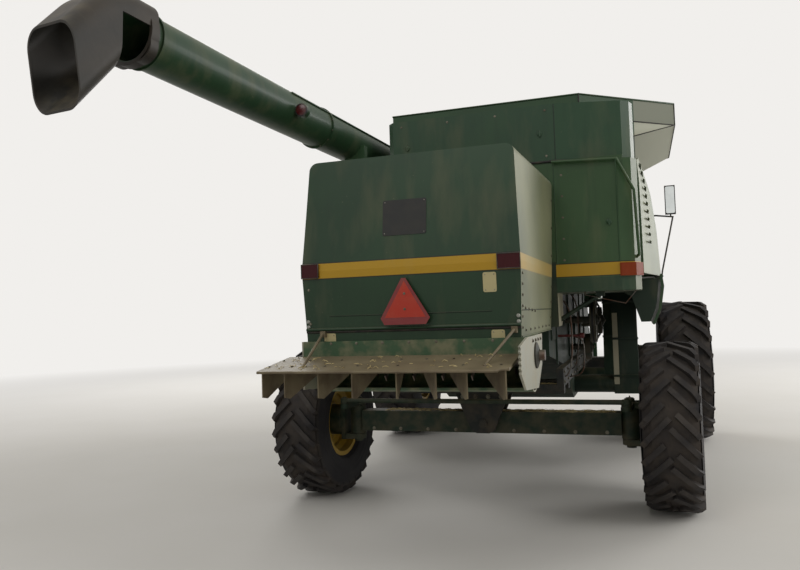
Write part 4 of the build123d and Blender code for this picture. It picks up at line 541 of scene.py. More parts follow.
print("camera at", [round(v, 3) for v in camera.matrix_world.translation])

# %% [markdown]
# A plain floor and soft studio light: a pale sky all round, a broad lamp ahead on the right, so that
# the right-hand panels catch it at a low angle, another high on that side, a softer one behind and
# one ahead on the left. Far from the machine the floor takes the backdrop's own pale colour for the
# rays that see it directly or mirrored, so no horizon line shows, and near it the floor keeps the
# shadow.

# %% Floor, sky and lamps
BACKDROP = "#f1efec"
SKY_STRENGTH = 0.45
FLOOR_HALF, FLOOR_NEAR, FLOOR_FAR = 60, 6.0, 24.0
# Columns: name, place, point that it faces, side of its square, power in watts
LAMPS = (
    ("lamp_ahead_right", (13, 12, 6), (0.8, -1.5, 1.8), 8, 1250),
    ("lamp_right", (14, -3, 10), (0, -1.0, 1.8), 8, 700),
    ("lamp_rear", (-3, -12, 12), (0, -2.5, 1.6), 7, 350),
    ("lamp_left_front", (-10, 12, 9), (0, 1.0, 1.8), 8, 900),
)


def seen_directly(tree):
    """1 for the rays of the camera, of mirrored surfaces and of glass, 0 for those that light things."""
    path = add(tree, "LightPath")
    seen = sums(tree, "MAXIMUM", path.outputs["Is Camera Ray"], path.outputs["Is Glossy Ray"])
    return sums(tree, "MAXIMUM", seen, path.outputs["Is Transmission Ray"])


floor_material, tree, shader, place = start("floor_screed_pale", 0.9)
floor_colour = over(tree, "#dad7d1", "#d6d3cc", blotches(tree, place, 1500, 0.3, 0.7))
tree.links.new(floor_colour, shader.inputs["Base Color"])
shader.inputs["Specular IOR Level"].default_value = 0.2
glow = add(tree, "Emission", {"Color": linear(BACKDROP), "Strength": 1.0})
away = add(tree, "VectorMath", {"operation": "LENGTH"}, {0: place}).outputs["Value"]
far = times(tree, ramp(tree, away, FLOOR_NEAR, FLOOR_FAR), 1.0, seen_directly(tree))
blend = add(tree, "MixShader", (), {0: far, 1: shader.outputs["BSDF"], 2: glow.outputs["Emission"]})
tree.links.new(blend.outputs["Shader"], tree.nodes["Material Output"].inputs["Surface"])
floor_mesh = bpy.data.meshes.new("floor")
floor_corners = [(x * FLOOR_HALF, y * FLOOR_HALF, 0) for x, y in ((-1, -1), (1, -1), (1, 1), (-1, 1))]
floor_mesh.from_pydata(floor_corners, [], [(0, 1, 2, 3)])
floor_mesh.materials.append(floor_material)
floor = bpy.data.objects.new("floor", floor_mesh)
scene.collection.objects.link(floor)

world = bpy.data.worlds.new("sky")
scene.world = world
world.use_nodes = True
tree = world.node_tree
background = tree.nodes["Background"]
background.inputs["Color"].default_value = linear(BACKDROP)
strength = ramp(tree, seen_directly(tree), 0.0, 1.0, SKY_STRENGTH, 1.0)
tree.links.new(strength, background.inputs["Strength"])

for name, place, aim, size, power in LAMPS:
    lamp_data = bpy.data.lights.new(name, "AREA")
    lamp_data.shape = "SQUARE"
    lamp_data.size = size
    lamp_data.energy = power
    lamp = bpy.data.objects.new(name, lamp_data)
    scene.collection.objects.link(lamp)
    lamp.location = place
    lamp.rotation_euler = (Vector(aim) - Vector(place)).to_track_quat("-Z", "Y").to_euler()
    lamp.visible_camera = False
print("lamps", len(LAMPS))

# %% [markdown]
# Every fitting is drawn by one of four small strokes: a turned form round an axis (bolts, lenses,
# hubs, tyre walls), a plate cut to an outline, a rectangular bar, and a line of round rod or rubber.
# Some forms could be Blender's own cylinders and cubes, but strokes put many of them into one mesh. A
# fitting is seated on its carrier by a ray cast at the solid, so it touches real metal from any side.
# Each piece then rides on the body that its carrier belongs to.

# %% Pieces and turned forms
LEFT, RIGHT, FORWARD, BACK = (-1, 0, 0), (1, 0, 0), (0, 1, 0), (0, -1, 0)
DOWN, UP = (0, 0, -1), (0, 0, 1)
SIDES = ((-1, "left"), (1, "right"))
surfaces = {}


def touch(node_name, point, toward):
    """Where a line from a point first meets a solid, and the direction that its surface faces there."""
    if node_name not in surfaces:
        mesh = nodes[node_name].data
        surfaces[node_name] = BVHTree.FromPolygons(
            [v.co.copy() for v in mesh.vertices], [tuple(p.vertices) for p in mesh.polygons]
        )
    heading = Vector(toward).normalized()
    place, normal, _, _ = surfaces[node_name].ray_cast(Vector(point), heading)
    if place is None:
        raise RuntimeError(f"{node_name} isn't met from {point}")
    return place, (-normal if normal.dot(heading) > 0 else normal)


def carried(fitting, body):
    """A fitting put in the scene, on the body that it rides on."""
    scene.collection.objects.link(fitting)
    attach(fitting, body)
    return fitting


def piece(name, body, material, draw, smooth=False):
    """One fitting: a mesh drawn stroke by stroke, its finish, and the body that it rides on."""
    mesh = bpy.data.meshes.new(name)
    form = bmesh.new()
    draw(form)
    bmesh.ops.recalc_face_normals(form, faces=form.faces)
    form.to_mesh(mesh)
    form.free()
    mesh.materials.append(material)
    if smooth:
        mesh.shade_smooth()
        mesh.set_sharp_from_angle(angle=math.radians(35))
    return carried(bpy.data.objects.new(name, mesh), body)


def spokes(axis, count, first=0.0):
    """Directions spread evenly round an axis, the first one a share of a step on."""
    across = axis.orthogonal().normalized()
    deep = axis.cross(across)
    turns = [2 * math.pi * (i + first) / count for i in range(count)]
    return [across * math.cos(turn) + deep * math.sin(turn) for turn in turns]


def turned(form, centre, axis, profile, sides=16):
    """A lathe-turned form: pairs of radius and height, round an axis through a centre."""
    centre, lift = Vector(centre), Vector(axis).normalized()
    round_axis = spokes(lift, sides)
    rings = []
    for radius, height in profile:
        around = round_axis if radius > 0 else round_axis[:1]
        rings.append([form.verts.new(centre + lift * height + spoke * radius) for spoke in around])
    for below, above in zip(rings, rings[1:]):
        for i in range(sides):
            j = (i + 1) % sides
            corners = [ring[k % len(ring)] for ring, k in ((below, i), (below, j), (above, j), (above, i))]
            distinct = list(dict.fromkeys(corners))
            if len(distinct) > 2:
                form.faces.new(distinct)


def seated(name, body, material, profile, seats, sides=16, smooth=False):
    """One turned form at each of several seats, each a place and the direction that it faces."""
    def draw(form):
        for place, normal in seats:
            turned(form, place, normal, profile, sides)
    return piece(name, body, material, draw, smooth)


# %% [markdown]
# A bolt is a hexagon head on its washer, two turned forms of a few sides. Bolts come in rows, and
# many rows stand on both sides of the machine, so places can be spread between two ends and carried
# over to the left.

# %% Bolts, rows and mirroring


def bolt(form, centre, axis, radius):
    """A hexagon head on its washer."""
    washer = ((1.45 * radius, -0.001), (1.45 * radius, 0.2 * radius), (0, 0.2 * radius))
    head = ((radius, 0.2 * radius), (radius, 0.85 * radius), (0.75 * radius, radius), (0, radius))
    turned(form, centre, axis, washer, 10)
    turned(form, centre, axis, head, 6)


def bolted(name, body, seats):
    """A bolt at each of several seats: its place, the direction that it faces and its radius."""
    def draw(form):
        for seat in seats:
            bolt(form, *seat)
    return piece(name, body, zinc_bolt, draw)


def row(first, last, count):
    """Places spread evenly between two ends."""
    first, last = Vector(first), Vector(last)
    return [first.lerp(last, i / (count - 1)) for i in range(count)]


def mirrored(place, side):
    """A place or direction given for the right-hand side, carried to the left one by a side of -1."""
    return (side * place[0], *place[1:])


M12, M16, M20 = 0.0095, 0.012, 0.015
print("radii of the heads in mm", [round(1000 * radius, 1) for radius in (M12, M16, M20)])

# %% [markdown]
# Pressed panels are held by rows of M12 heads, each seated by its own ray. The tables hold one row a
# line, so a row is added or moved without touching any code.

# %% Rows of bolts
# Columns: solid, its body, ray's direction, first place, last place, number of heads, head's radius
SINGLE_ROWS = (
    ("straw_hood", "chassis", FORWARD, (-0.70, -3.6, 1.72), (-0.70, -3.6, 1.95), 2, M12 * 0.7),
    ("chopper_housing", "chassis", FORWARD, (-0.55, -3.6, 1.585), (0.55, -3.6, 1.585), 7, M12 * 0.7),
    ("side_panels", "chassis", FORWARD, (0.86, -2.2, 2.16), (0.86, -2.2, 2.86), 5, M12 * 0.7),
    ("side_panels", "chassis", FORWARD, (-0.86, -2.2, 2.16), (-0.86, -2.2, 2.86), 5, M12 * 0.7),
    ("engine_cover", "chassis", FORWARD, (-0.5, -2.2, 3.03), (0.75, -2.2, 3.03), 7, M12 * 0.7),
    ("engine_cover", "chassis", FORWARD, (-0.5, -2.2, 3.41), (0.75, -2.2, 3.41), 4, M12 * 0.7),
    ("grain_tank", "chassis", BACK, (-0.85, 2.6, 3.25), (1.35, 2.6, 3.25), 9, M12),
    ("tank_extension", "chassis", BACK, (-0.85, 2.6, 3.48), (1.35, 2.6, 3.48), 9, M12),
    ("feeder_house", "feeder", BACK, (-0.69, 4.8, 0.60), (-0.69, 4.8, 1.15), 6, M16),
    ("feeder_house", "feeder", BACK, (0.69, 4.8, 0.60), (0.69, 4.8, 1.15), 6, M16),
    ("feeder_house", "feeder", DOWN, (-0.6, 3.3, 2.2), (0.6, 3.3, 2.2), 7, M12),
    ("feeder_house", "feeder", DOWN, (-0.6, 4.0, 2.2), (0.6, 4.0, 2.2), 7, M12),
    ("cab_roof", "chassis", BACK, (-0.6, 4.5, 3.70), (0.6, 4.5, 3.70), 5, M12 * 0.6),
    ("rear_axle", "chassis", FORWARD, (-1.1, -1.6, 0.66), (1.1, -1.6, 0.66), 9, M16),
    ("chassis_frame", "chassis", FORWARD, (-0.18, -1.6, 0.98), (0.18, -1.6, 0.98), 4, M20),
)
# The same columns for rows that stand on both sides, given for the right-hand one
PAIRED_ROWS = (
    ("straw_hood", "chassis", LEFT, (1.3, -3.23, 1.66), (1.3, -3.24, 2.00), 6, M12 * 0.8),
    ("straw_hood", "chassis", LEFT, (1.3, -3.12, 1.78), (1.3, -2.7, 1.76), 4, M12 * 0.9),
    ("straw_hood", "chassis", LEFT, (1.3, -3.1, 1.64), (1.3, -1.9, 1.64), 7, M12 * 0.8),
    ("straw_hood", "chassis", LEFT, (1.3, -1.79, 2.2), (1.3, -1.79, 2.65), 3, M12 * 0.8),
    ("straw_hood", "chassis", LEFT, (1.3, -1.79, 1.7), (1.3, -1.79, 1.95), 3, M12 * 0.8),
    ("chopper_housing", "chassis", LEFT, (1.0, -3.10, 1.57), (1.0, -2.75, 1.57), 4, M12),
    ("chassis_frame", "chassis", LEFT, (1.4, -1.2, 1.12), (1.4, 2.4, 1.12), 12, M16),
    ("chassis_frame", "chassis", LEFT, (1.4, -1.2, 1.21), (1.4, 2.4, 1.21), 12, M16),
    ("side_panels", "chassis", LEFT, (1.9, 0.1, 2.10), (1.9, 2.2, 2.10), 8, M12),
    ("side_panels", "chassis", LEFT, (1.9, 0.1, 3.10), (1.9, 2.2, 3.10), 8, M12),
    ("side_panels", "chassis", LEFT, (1.9, 2.26, 2.2), (1.9, 2.26, 3.0), 5, M12),
    ("engine_block", "chassis", LEFT, (0.75, -1.35, 2.25), (0.75, -0.75, 2.25), 6, M16),
    ("feeder_house", "feeder", LEFT, (1.1, 3.3, 1.55), (1.1, 4.25, 0.96), 9, M12),
    ("cab_frame", "chassis", LEFT, (1.2, 2.52, 1.95), (1.2, 2.52, 3.5), 6, M12),
    ("front_axle", "chassis", FORWARD, (0.95, 2.2, 0.97), (0.95, 2.2, 1.05), 2, M20),
)
by_body = {}
for side, rows in ((1, SINGLE_ROWS), (-1, PAIRED_ROWS), (1, PAIRED_ROWS)):
    for solid, body, toward, first, last, count, radius in rows:
        for start_point in row(mirrored(first, side), mirrored(last, side), count):
            place, normal = touch(solid, start_point, mirrored(toward, side))
            by_body.setdefault(body, []).append((place, normal, radius))
for body, seats in by_body.items():
    bolted("bolts_" + body, body, seats)
    print("bolts on", body, len(seats))

# %% [markdown]
# Pipes, rods, seals and beads are all lengths of one round section. A curve with a bevel draws them,
# straight from point to point where the real one is a bent rod, or as one smooth line for a pipe.

# %% Lines of round section


def lines(name, body, material, routes, radius, smooth=False, closed=False):
    """Round rod, rubber or pipe along each route: straight from point to point, or one smooth line."""
    curve = bpy.data.curves.new(name, "CURVE")
    curve.dimensions = "3D"
    curve.bevel_depth = radius
    curve.bevel_resolution = 2
    curve.use_fill_caps = True
    curve.resolution_u = 6
    for route in routes:
        spline = curve.splines.new("NURBS" if smooth else "POLY")
        spline.points.add(len(route) - 1)
        for point, place in zip(spline.points, route):
            point.co = (*place, 1.0)
        spline.use_cyclic_u = closed
        if smooth:
            spline.use_endpoint_u = True
            spline.order_u = 3
    curve.materials.append(material)
    return carried(bpy.data.objects.new(name, curve), body)


def both_sides(*routes):
    """Routes given for the right-hand side, drawn on the left one too."""
    return [[mirrored(place, side) for place in route] for side, _ in SIDES for route in routes]


# %% [markdown]
# Wheels: the solid tyre has straight runs in its section, and a real sidewall is a soft curve with
# moulded rings. A turned skin over each wall gives that curve and three fine ribs. The outer faces
# also get nuts on their washers, a greased cap and a valve stem.

# %% Tyre walls and hubs
REST_STEER = math.radians(3.5)
# Columns: end of the machine, steering angle at rest, tyre's width, bead radius, disc's place along
# the axle, hub radius, number of nuts
WHEELS = (
    ("front", 0.0, 0.622, 0.406, -0.10, 0.19, 10),
    ("rear", REST_STEER, 0.467, 0.330, -0.06, 0.165, 8),
)
RIB_SHARES, RIB_HEIGHT = (0.16, 0.42, 0.60), 0.003
WALL_STEPS, WALL_SIDES = 22, 72
NUT_RADIUS = 0.014


def wall_profile(radius, width, bead):
    """Radius and height of a sidewall, from the bead to the shoulder, with three moulded rings."""
    shoulder = radius * (1 - 2.2 * LUG_SHARE)
    foot = bead + 0.030
    points = []
    for i in range(WALL_STEPS + 1):
        share = i / WALL_STEPS
        bulge = math.sin(math.pi * min(1.0, 0.12 + 0.80 * share)) ** 0.55
        ring = sum(RIB_HEIGHT for rib in RIB_SHARES if abs(share - rib) < 0.5 / WALL_STEPS)
        half = width * (0.385 + 0.121 * bulge) if share < 0.5 else width * (0.452 + 0.054 * bulge)
        points.append((foot + (shoulder - foot) * share, half + ring))
    guard = width * 0.40
    bead_edge = [(foot - 0.002, width * 0.37), (foot - 0.002, guard), (foot + 0.008, guard + 0.006)]
    return bead_edge + points[2:]


for side, side_name in SIDES:
    for end, steer, width, bead, disc_x, hub_radius, nuts in WHEELS:
        body, tyre = f"{end}_wheel_{side_name}", f"{end}_tyre_{side_name}"
        axis = Vector((side * math.cos(steer), -side * math.sin(steer), 0))
        low, high = (Vector(corner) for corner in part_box(tyre))
        centre = (low + high) / 2
        radius = (high.z - low.z) / 2
        walls = [(centre, -axis), (centre, axis)]
        profile = wall_profile(radius, width, bead)
        seated("sidewalls_" + body, body, finish_of[tyre], profile, walls, WALL_SIDES, smooth=True)

        def draw_nuts(form):
            face = centre + axis * (disc_x + 0.019)
            for spoke in spokes(axis, nuts, 0.5):
                bolt(form, face + spoke * (hub_radius * 0.93 - 0.022), axis, NUT_RADIUS)
            cap = ((0.048, 0.058), (0.048, 0.075), (0.036, 0.09), (0, 0.094))
            turned(form, centre + axis * disc_x, axis, cap, 20)

        piece("nuts_" + body, body, zinc_bolt, draw_nuts)
        across = axis.orthogonal().normalized()
        foot = centre + axis * (disc_x + 0.05) + across * (bead - 0.085)
        lines("valve_" + body, body, bare_steel, [(foot, foot + axis * 0.05 + across * 0.006)], 0.006)
        print(body, "radius", round(radius, 3))

# %% [markdown]
# The hood's rear: the sheet is folded and lapped, so a thin bead marks each lap. The beads follow the
# sheet by rays cast along one height.

# %% Hood seams
BEHIND_HOOD_Y, BESIDE_HOOD_X = -3.8, 1.4
LAP_Z, LIP_Z, HOOD_FOOT_Z = 1.769, 1.680, 1.603


def across_face(z, half, lift=0.0, count=9):
    """Places across the hood's rear face at one height."""
    starts = row((-half, BEHIND_HOOD_Y, z), (half, BEHIND_HOOD_Y, z), count)
    return [touch("straw_hood", place, FORWARD)[0] - Vector((0, lift, 0)) for place in starts]


def down_sides(z, first_y, last_y, count=7):
    """Places along each side of the hood at one height."""
    starts = row((BESIDE_HOOD_X, first_y, z), (BESIDE_HOOD_X, last_y, z), count)
    return [
        [touch("straw_hood", mirrored(place, side), mirrored(LEFT, side))[0] for place in starts]
        for side, _ in SIDES
    ]


lap_routes = [across_face(LAP_Z, 0.735)] + down_sides(LAP_Z, -3.26, -1.78)
lines("hood_laps", "chassis", green_shade, lap_routes, 0.0035)
lip_route = across_face(LIP_Z, 0.73, 0.002)
lines("hood_lip", "chassis", green_hood, [lip_route], 0.011)
gap_route = [place + Vector((0, 0.004, -0.016)) for place in lip_route]
lines("hood_lip_gap", "chassis", seal_rubber, [gap_route], 0.009)
lines("hood_foot_beads", "chassis", green_hood, down_sides(HOOD_FOOT_Z, -3.25, -1.76), 0.006)
print("hood seams at heights", LAP_Z, LIP_Z, HOOD_FOOT_Z)

# %% [markdown]
# Flat stock: a plate is cut to an outline, and a bar is sawn square. A real edge is never quite sharp,
# so a small chamfer breaks a bar's edges and catches the light.

# %% Plates and bars


def plate(form, outline, origin, across, upward, thickness):
    """A flat plate: an outline of (across, up) pairs on a plane, thickened off that plane."""
    origin, across, upward = Vector(origin), Vector(across).normalized(), Vector(upward).normalized()
    out = across.cross(upward).normalized() * thickness
    lower = [form.verts.new(origin + across * a + upward * b) for a, b in outline]
    upper = [form.verts.new(v.co + out) for v in lower]
    form.faces.new(lower)
    form.faces.new(upper)
    for i in range(len(lower)):
        j = (i + 1) % len(lower)
        form.faces.new((lower[i], lower[j], upper[j], upper[i]))


def rectangle(width, height, corner=0.0, steps=4):
    """The outline of a plate about its own middle, with rounded corners where a radius is given."""
    if corner == 0.0:
        return [(x * width / 2, y * height / 2) for x, y in ((-1, -1), (1, -1), (1, 1), (-1, 1))]
    points = []
    for quarter, (x, y) in enumerate(((1, 1), (-1, 1), (-1, -1), (1, -1))):
        for i in range(steps + 1):
            turn = math.pi / 2 * (quarter + i / steps)
            points.append((
                x * (width / 2 - corner) + corner * math.cos(turn),
                y * (height / 2 - corner) + corner * math.sin(turn),
            ))
    return points


def slab(form, one, other):
    """A rectangular bar between two opposite corners, its edges broken by a small chamfer."""
    low = Vector([min(pair) for pair in zip(one, other)])
    high = Vector([max(pair) for pair in zip(one, other)])
    made = bmesh.ops.create_cube(form, size=1.0)["verts"]
    for vertex in made:
        vertex.co = Vector([low[i] + (high[i] - low[i]) * (vertex.co[i] + 0.5) for i in range(3)])
    edges = list({edge for vertex in made for edge in vertex.link_edges})
    chamfer = min(0.003, min(high - low) * 0.2)
    bmesh.ops.bevel(form, geom=edges, offset=chamfer, segments=1, affect="EDGES")


# %% [markdown]
# The slow-vehicle sign is a truncated triangle of fluorescent film inside a dark reflective border,
# bolted to its bracket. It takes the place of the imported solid, whose corners are sharp.

# %% Slow-vehicle sign
SIGN_Y, SIGN_X = -3.318, -0.009
SIGN_OUTLINE = (
    (-0.152, 1.700), (0.130, 1.700), (0.158, 1.742), (0.001, 2.001), (-0.027, 2.001), (-0.176, 1.742),
)
SIGN_FACE = ((-0.148, 1.746), (0.130, 1.746), (-0.009, 1.982))


def draw_sign(form):
    plate(form, SIGN_OUTLINE, (0, SIGN_Y + 0.004, 0), RIGHT, UP, 0.004)
    slab(form, (-0.06, SIGN_Y + 0.001, 1.72), (0.03, -3.278, 1.80))


def draw_sign_film(form):
    plate(form, SIGN_FACE, (0, SIGN_Y - 0.0001, 0), RIGHT, UP, 0.0012)


sign = piece("slow_vehicle_sign", "chassis", red_film, draw_sign)
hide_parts("slow_vehicle_triangle")
piece("slow_vehicle_film", "chassis", orange_film, draw_sign_film)
sign_bolts = [((SIGN_X, SIGN_Y - 0.001, z), BACK, 0.006) for z in (1.80, 1.90)]
bolted("slow_vehicle_bolts", "chassis", sign_bolts)
print("sign stands for slow_vehicle_triangle")

# %% [markdown]
# The places of the badge and the labels carry plain blank plates, riveted at their corners. The lamps
# have black bezels, and round latches sit at the hood's lower corners.

# %% Blank plates, bezels and latches
RIVET = ((0.004, 0), (0.003, 0.0015), (0, 0.002))
RIVET_INSET = 0.014
# Columns: name, middle x and z, width, height, finish of the face
PLATES = (
    ("badge_plate", -0.013, 2.405, 0.30, 0.24, plate_black),
    ("label_plate_upper", 0.546, 1.950, 0.085, 0.125, plate_cream),
    ("label_plate_left", -0.560, 1.596, 0.085, 0.115, plate_cream),
    ("label_plate_right", 0.584, 1.594, 0.085, 0.115, plate_cream),
)
for name, x, z, wide, tall, finish in PLATES:
    middle, normal = touch("straw_hood", (x, BEHIND_HOOD_Y, max(z, HOOD_FOOT_Z + 0.001)), FORWARD)
    middle.z = z
    slope = Vector((0, normal.z, -normal.y))

    def draw_plate(form):
        plate(form, rectangle(wide, tall, 0.012), middle, RIGHT, slope, 0.003)

    piece(name, "chassis", finish, draw_plate)
    rivets = [
        (middle + normal * 0.003 + Vector((a, 0, 0)) + slope * b, normal)
        for a, b in rectangle(wide - 2 * RIVET_INSET, tall - 2 * RIVET_INSET)
    ]
    seated(name + "_rivets", "chassis", bare_steel, RIVET, rivets, 8)

bezels = []
for x_low, x_high in ((-0.744, -0.620), (0.600, 0.744)):
    corners = ((x_low, 2.030), (x_high, 2.030), (x_high, 2.124), (x_low, 2.124))
    bezels.append([(x, -3.307, z) for x, z in corners])
lines("lamp_bezels", "chassis", black_plastic, bezels, 0.004, closed=True)
latches = [
    touch("straw_hood", (x, BEHIND_HOOD_Y, z), FORWARD) for x in (0.715, -0.715) for z in (1.735, 1.700)
]
latch = ((0.013, -0.001), (0.013, 0.004), (0.009, 0.009), (0, 0.01))
seated("hood_latches", "chassis", galvanised, latch, latches, 14)
print("hood fittings done")

# %% [markdown]
# The spreading board: its rear edge is rolled to a lip, and screws hold the vanes from above.

# %% Board, lip and screws
BOARD_FRONT, BOARD_REAR = (-3.282, 1.500), (-3.738, 1.440)
VANE_FRONT_Y, VANE_REAR_Y = -3.342, -3.678
VANES = (
    (-0.830, -0.850), (-0.630, -0.695), (-0.400, -0.465), (-0.205, -0.240),
    (-0.025, 0.045), (0.120, 0.290), (0.290, 0.475), (0.510, 0.700),
)
BOARD_BOLT_MIN_X, BOARD_BOLT_MAX_X = -0.84, 0.69


def board_z(y):
    """Height of the board's upper face."""
    share = (y - BOARD_FRONT[0]) / (BOARD_REAR[0] - BOARD_FRONT[0])
    return BOARD_FRONT[1] + (BOARD_REAR[1] - BOARD_FRONT[1]) * share


lip = [
    (-0.856, BOARD_REAR[0], 1.432), (0.656, BOARD_REAR[0], 1.432),
    (0.663, -3.694, 1.438), (0.716, -3.690, 1.439),
]
lines("board_lip", "chassis", board_steel, [lip], 0.008)
board_bolts = []
for front_x, rear_x in VANES:
    for share in (0.22, 0.78):
        x = front_x + (rear_x - front_x) * share
        y = VANE_FRONT_Y + (VANE_REAR_Y - VANE_FRONT_Y) * share
        place = (max(BOARD_BOLT_MIN_X, min(BOARD_BOLT_MAX_X, x)), y, board_z(y))
        board_bolts.append((place, (0, -0.13, 1), 0.007))
bolted("board_bolts", "chassis", board_bolts)
print("board screws", len(board_bolts))

# %% [markdown]
# A few straws still lie on the board, with more on the axle, the hood, the hanger and the deck. Each
# is a thin bent blade, a strip of its own with a random turn. Hair or geometry nodes could scatter
# them, but one seeded generator is simpler and gives the same litter in every run.

# %% Straw
chance = random.Random(7)
BLADE_WIDTH, SHORTEST_BLADE = 0.004, 0.02
# Columns: name, solid that it lies on, x range, y range, height to drop from, number of blades,
# longest, range of headings
LITTER = (
    ("straw_on_board", "tailboard", (-0.84, 0.63), (-3.70, -3.31), 1.6, 70, 0.04, math.pi),
    ("straw_on_axle", "rear_axle", (-0.95, 1.15), (-1.07, -0.93), 1.2, 420, 0.10, 0.9),
    ("straw_on_hood", "straw_hood", (-0.6, 0.6), (-2.9, -1.85), 3.2, 120, 0.05, math.pi),
    ("straw_on_hanger", "chassis_frame", (-0.7, 0.7), (-1.24, -1.16), 1.3, 160, 0.09, math.pi),
    ("straw_on_deck", "access_ladder", (-1.4, 1.4), (2.55, 3.3), 2.1, 160, 0.05, math.pi),
)


def blade(form, foot, heading, length, lift):
    """One bent straw: a folded strip of three runs, a little higher in its middle."""
    along = Vector((math.cos(heading), math.sin(heading), 0))
    aside = Vector((-along.y, along.x, 0)) * BLADE_WIDTH / 2
    fold = Vector((0, 0, BLADE_WIDTH * 0.7))
    rings = []
    for share, rise in ((0, 0.001), (0.4, lift), (0.7, lift * 0.8), (1, 0.002)):
        middle = foot + along * length * (share - 0.5) + Vector((0, 0, rise))
        rings.append([form.verts.new(middle + shift) for shift in (-aside, aside, fold)])
    for low, high in zip(rings, rings[1:]):
        for i in range(3):
            j = (i + 1) % 3
            form.faces.new((low[i], low[j], high[j], high[i]))
    form.faces.new(rings[0])
    form.faces.new(rings[-1])


for name, solid, x_range, y_range, drop, count, longest, spread in LITTER:
    straws = []
    for _ in range(count):
        spot = (chance.uniform(*x_range), chance.uniform(*y_range), drop)
        try:
            place, normal = touch(solid, spot, DOWN)
        except RuntimeError:
            continue
        if normal.z > 0.7:
            heading, length = chance.uniform(-spread, spread), chance.uniform(SHORTEST_BLADE, longest)
            straws.append((place, heading, length, chance.uniform(0.002, 0.012)))

    def draw_straw(form):
        for one in straws:
            blade(form, *one)

    piece(name, "chassis", straw, draw_straw)
    print(name, len(straws))

# %% [markdown]
# The drives show in the open bays on both sides. Each pulley has a rolled rim, a web with holes and a
# keyed hub with a bolt.

# %% Pulleys
HUB = ((0.060, 0), (0.055, 0.020), (0.034, 0.022), (0.034, 0.034), (0, 0.034))
WEB_HOLE = ((0.024, 0), (0.024, 0.004), (0.019, 0.004), (0.017, 0.0005), (0, 0.0005))
WEB_HOLES = 5


def draw_pulleys(form):
    for side, y, z, radius, outer_x in PULLEYS:
        hub = Vector((side * outer_x, REAR_AXLE_Y + y, z))
        rim = ((radius - 0.022, 0), (radius - 0.018, 0.006), (radius - 0.004, 0.006), (radius - 0.002, 0))
        turned(form, hub, (side, 0, 0), rim, 40)
        turned(form, hub, (side, 0, 0), HUB, 20)
        reach = (radius + 0.05) / 2
        for i in range(WEB_HOLES):
            turn = 2 * math.pi * i / WEB_HOLES
            spot = hub + Vector((0, math.cos(turn) * reach, math.sin(turn) * reach))
            turned(form, spot, (side, 0, 0), WEB_HOLE, 14)


piece("pulley_faces", "chassis", drive_steel, draw_pulleys, smooth=True)
pulley_bolts = []
for side, y, z, radius, outer_x in PULLEYS:
    pulley_bolts.append(((side * (outer_x + 0.033), REAR_AXLE_Y + y, z), (side, 0, 0), 0.014))
bolted("pulley_bolts", "chassis", pulley_bolts)
print("pulleys", len(PULLEYS))

# %% [markdown]
# Plates and ribs in the bays: the narrow panel ahead of the hood, ribs on the separator's wall, the
# elevators' flanges and cream inspection strip, and the plate that closes the gap between the deck's
# edge and the shield's rear end.

# %% Bay panels, ribs and elevators
BAY_PANEL = ((-1.744, 1.625), (-1.744, 1.895), (-1.40, 1.895), (-1.40, 1.70), (-1.52, 1.625))
CLOSING_PLATE = (
    (1.30, 2.0), (1.583, 2.0), (1.583, 1.93), (1.556, 1.75),
    (1.505, 1.63), (1.43, 1.63), (1.36, 1.85), (1.30, 1.89),
)


def draw_bay_panels(form):
    for side, _ in SIDES:
        plate(form, BAY_PANEL, (side * 0.793, 0, 0), FORWARD, UP, side * 0.003)


piece("bay_panels", "chassis", pale_paint, draw_bay_panels)
strip_low, strip_high = [touch("elevators", (1.15, -0.6, z), FORWARD)[0] for z in (0.93, 1.70)]


def draw_cream_strip(form):
    outline = rectangle(0.055, (strip_high - strip_low).length)
    plate(form, outline, (strip_low + strip_high) / 2, RIGHT, strip_high - strip_low, 0.003)


piece("elevator_strip", "chassis", pale_paint, draw_cream_strip)


def draw_elevator_flanges(form):
    for z in (1.02, 1.42, 1.82):
        for x_low, x_high, start_y in ((1.112, 1.388, -0.6), (0.982, 1.118, 0.0)):
            rear, _ = touch("elevators", ((x_low + x_high) / 2, start_y, z), FORWARD)
            slab(form, (x_low, rear.y - 0.012, z - 0.012), (x_high, rear.y + 0.003, z + 0.012))


piece("elevator_flanges", "chassis", green_shade, draw_elevator_flanges)


def draw_closing_plates(form):
    for side, _ in SIDES:
        plate(form, [(side * x, z) for x, z in CLOSING_PLATE], (0, -1.148, 0), RIGHT, UP, 0.003)


def draw_body_ribs(form):
    for side, _ in SIDES:
        for y in (-1.20, -0.05, 0.62, 1.36, 1.98):
            slab(form, (side * 0.699, y - 0.02, 1.27), (side * 0.716, y + 0.02, 2.10))
        slab(form, (side * 0.699, -1.55, 1.50), (side * 0.712, -1.28, 1.78))


piece("shield_closing_plates", "chassis", green_shade, draw_closing_plates)
piece("body_ribs", "chassis", green_shade, draw_body_ribs)
print("bay plates done")

# %% [markdown]
# Round stock in the bays: grease pipes run down in smooth bends, thin rods stay and brace the sheets,
# and a red cap stands on the separator's wall on each side.

